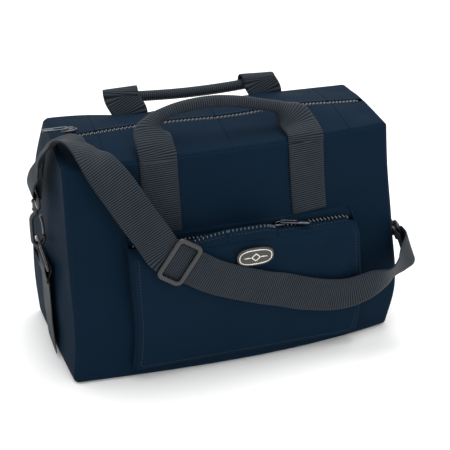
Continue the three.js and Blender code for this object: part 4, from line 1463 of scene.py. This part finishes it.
def adjuster():
    def at(a, b, c):
        return ADJ_CENTRE + ALONG * a + ACROSS * b + ADJ_OUT * c

    wide, tall, radius = 25.5, 43.5, 5.0
    x, y = wide / 2 - radius, tall / 2 - radius
    corners = [(x, y, 0), (-x, y, math.pi / 2), (-x, -y, math.pi), (x, -y, 1.5 * math.pi)]
    outline = [at(a, b, 2.9) for a, b in rounded_outline(corners, radius, 6)]
    rim_section = round_section(3.4, 5.0, 16, 3.2)
    rim = tube("rim", np.array(outline), ADJ_OUT, rim_section, PLASTIC, closed=True)
    bar_path = np.array([at(0, t, -2.0) for t in np.linspace(-tall / 2, tall / 2, 12)])
    bar = tube("bar", bar_path, ALONG, round_section(5.0, 2.2, 12, 3.0), PLASTIC)
    parts = [rim, bar]
    for end in (-1, 1):
        post = np.array([at(0, end * (tall / 2 + 0.4), c) for c in (-2.6, 0, 2.6)])
        parts.append(tube("post", post, ALONG, round_section(5.0, 2.6, 10, 3.0), PLASTIC))
    finish_piece(join("adjuster_frame", parts), "adjuster", "plastic", "strap_adjuster")


adjuster()

# ---- sliders and pulls ----


def slider_body(name, node, body):
    """A die-cast slider: a waisted top plate, a bridge for the pull, a neck and a foot plate."""
    lo, hi = node_box(node)
    centre = (lo + hi) / 2
    length, width = hi[0] - lo[0], hi[1] - lo[1]
    plate_z = hi[2] - 1.8

    def plate(label, z0, z1):
        rings = []
        for share, z in ((0.9, z0), (1.0, z0 + 0.4), (1.0, z1 - 0.6), (0.86, z1)):
            turn = np.linspace(0, 2 * math.pi, 40, endpoint=False)
            px = length / 2 * share * np.sign(np.cos(turn)) * np.abs(np.cos(turn)) ** 0.6
            waist = 1 - 0.22 * smooth((px / length + 0.5) * 1.3 - 0.3)
            py = width / 2 * share * waist * np.sign(np.sin(turn)) * np.abs(np.sin(turn)) ** 0.6
            rings.append(np.stack([centre[0] + px, centre[1] + py, np.full_like(px, z)], -1))
        return loft(label, np.array(rings), GUNMETAL)

    top = plate("top", plate_z - 1.0, hi[2])
    foot = plate("foot", lo[2], lo[2] + 1.4)
    neck_heights = np.linspace(lo[2] + 0.5, plate_z + 0.4, 5)
    neck = tube(
        "neck",
        np.array([(centre[0] + length * 0.25, centre[1], z) for z in neck_heights]),
        (1, 0, 0),
        round_section(4.0, 0.9, 8),
        GUNMETAL,
    )
    arch = [(-0.34, 0.0), (-0.3, 1.3), (-0.12, 2.1), (0.12, 2.1), (0.3, 1.2), (0.36, 0.0)]
    path, _, _ = spline(
        [(centre[0] + a * length, centre[1], hi[2] - 0.4 + h) for a, h in arch],
        np.zeros((len(arch), 1)),
        0.5,
    )
    bridge = tube("bridge", path, (0, 1, 0), round_section(2.4, 1.0, 10), GUNMETAL)
    finish_piece(join(name, [top, foot, neck, bridge]), body, "gunmetal", node)


slider_body("main_slider", "zip_slider", "slider")
slider_body("pocket_slider_body", "pocket_slider", "pocket_slider")


def pull(name, node, joint, body, along, length):
    """A long wire loop with a thick grip end, swinging at the slider's bridge."""
    start = joint_point(joint)
    run = unit(np.array(along, float))
    across = unit(np.cross((0, 0, 1), run))
    up = np.cross(run, across)
    half, radius = 2.7, 2.2
    far, near, side = length - radius, radius - 1.4, half - radius
    corners = [
        (far, side, 0.0),
        (near, side, math.pi / 2),
        (near, -side, math.pi),
        (far, -side, 1.5 * math.pi),
    ]
    outline = [start + run * a + across * b for a, b in rounded_outline(corners, radius, 5)]
    loop = tube("loop", np.array(outline), up, round_section(1.6, 1.7, 10), GUNMETAL, closed=True)
    grip_path = np.array([start + run * t for t in np.linspace(length * 0.55, length + 0.6, 9)])
    thick = np.array([1.4, 2.2, 2.5, 2.6, 2.6, 2.6, 2.6, 2.4, 1.6])
    section = np.stack([round_section(6.2 * (t / 2.6) ** 0.3, t, 14, 3.0) for t in thick])
    grip = tube("grip", grip_path, across, section, GUNMETAL)
    finish_piece(join(name, [loop, grip]), body, "gunmetal", node)


pull("main_pull", "zip_pull", "zip_pull_swing", "pull", (-1, 0, 0), 24.0)
pull("pocket_pull_tab", "pocket_pull", "pocket_pull_swing", "pocket_pull", (0.93, -0.37, 0), 29.0)

# ---- floor and light ----


def stage():
    bpy.ops.mesh.primitive_plane_add(size=12, location=(0, 0, -0.0004))
    floor = bpy.context.object
    floor.name = "floor"
    m = Nodes("floor_paint", (0.93, 0.93, 0.93), 0.9, specular=0.1)
    floor.data.materials.append(m.material)
    world = bpy.data.worlds.new("studio")
    bpy.context.scene.world = world
    world.use_nodes = True
    world.node_tree.nodes["Background"].inputs["Color"].default_value = (1, 1, 1, 1)
    world.node_tree.nodes["Background"].inputs["Strength"].default_value = 1.05


def lamp(name, place, size, power, aim_at=(0, 0, 0.12)):
    data = bpy.data.lights.new(name, "AREA")
    data.shape = "DISK"
    data.size = size
    data.energy = power
    made = bpy.data.objects.new(name, data)
    made.location = place
    made.rotation_mode = "QUATERNION"
    made.rotation_quaternion = (Vector(aim_at) - Vector(place)).to_track_quat("-Z", "Y")
    bpy.context.scene.collection.objects.link(made)


stage()
bpy.context.scene.view_settings.view_transform = "Standard"
lamp("overhead", (0.1, 0.25, 2.0), 1.5, 26)
lamp("front", (0.5, -1.9, 1.4), 1.0, 8)
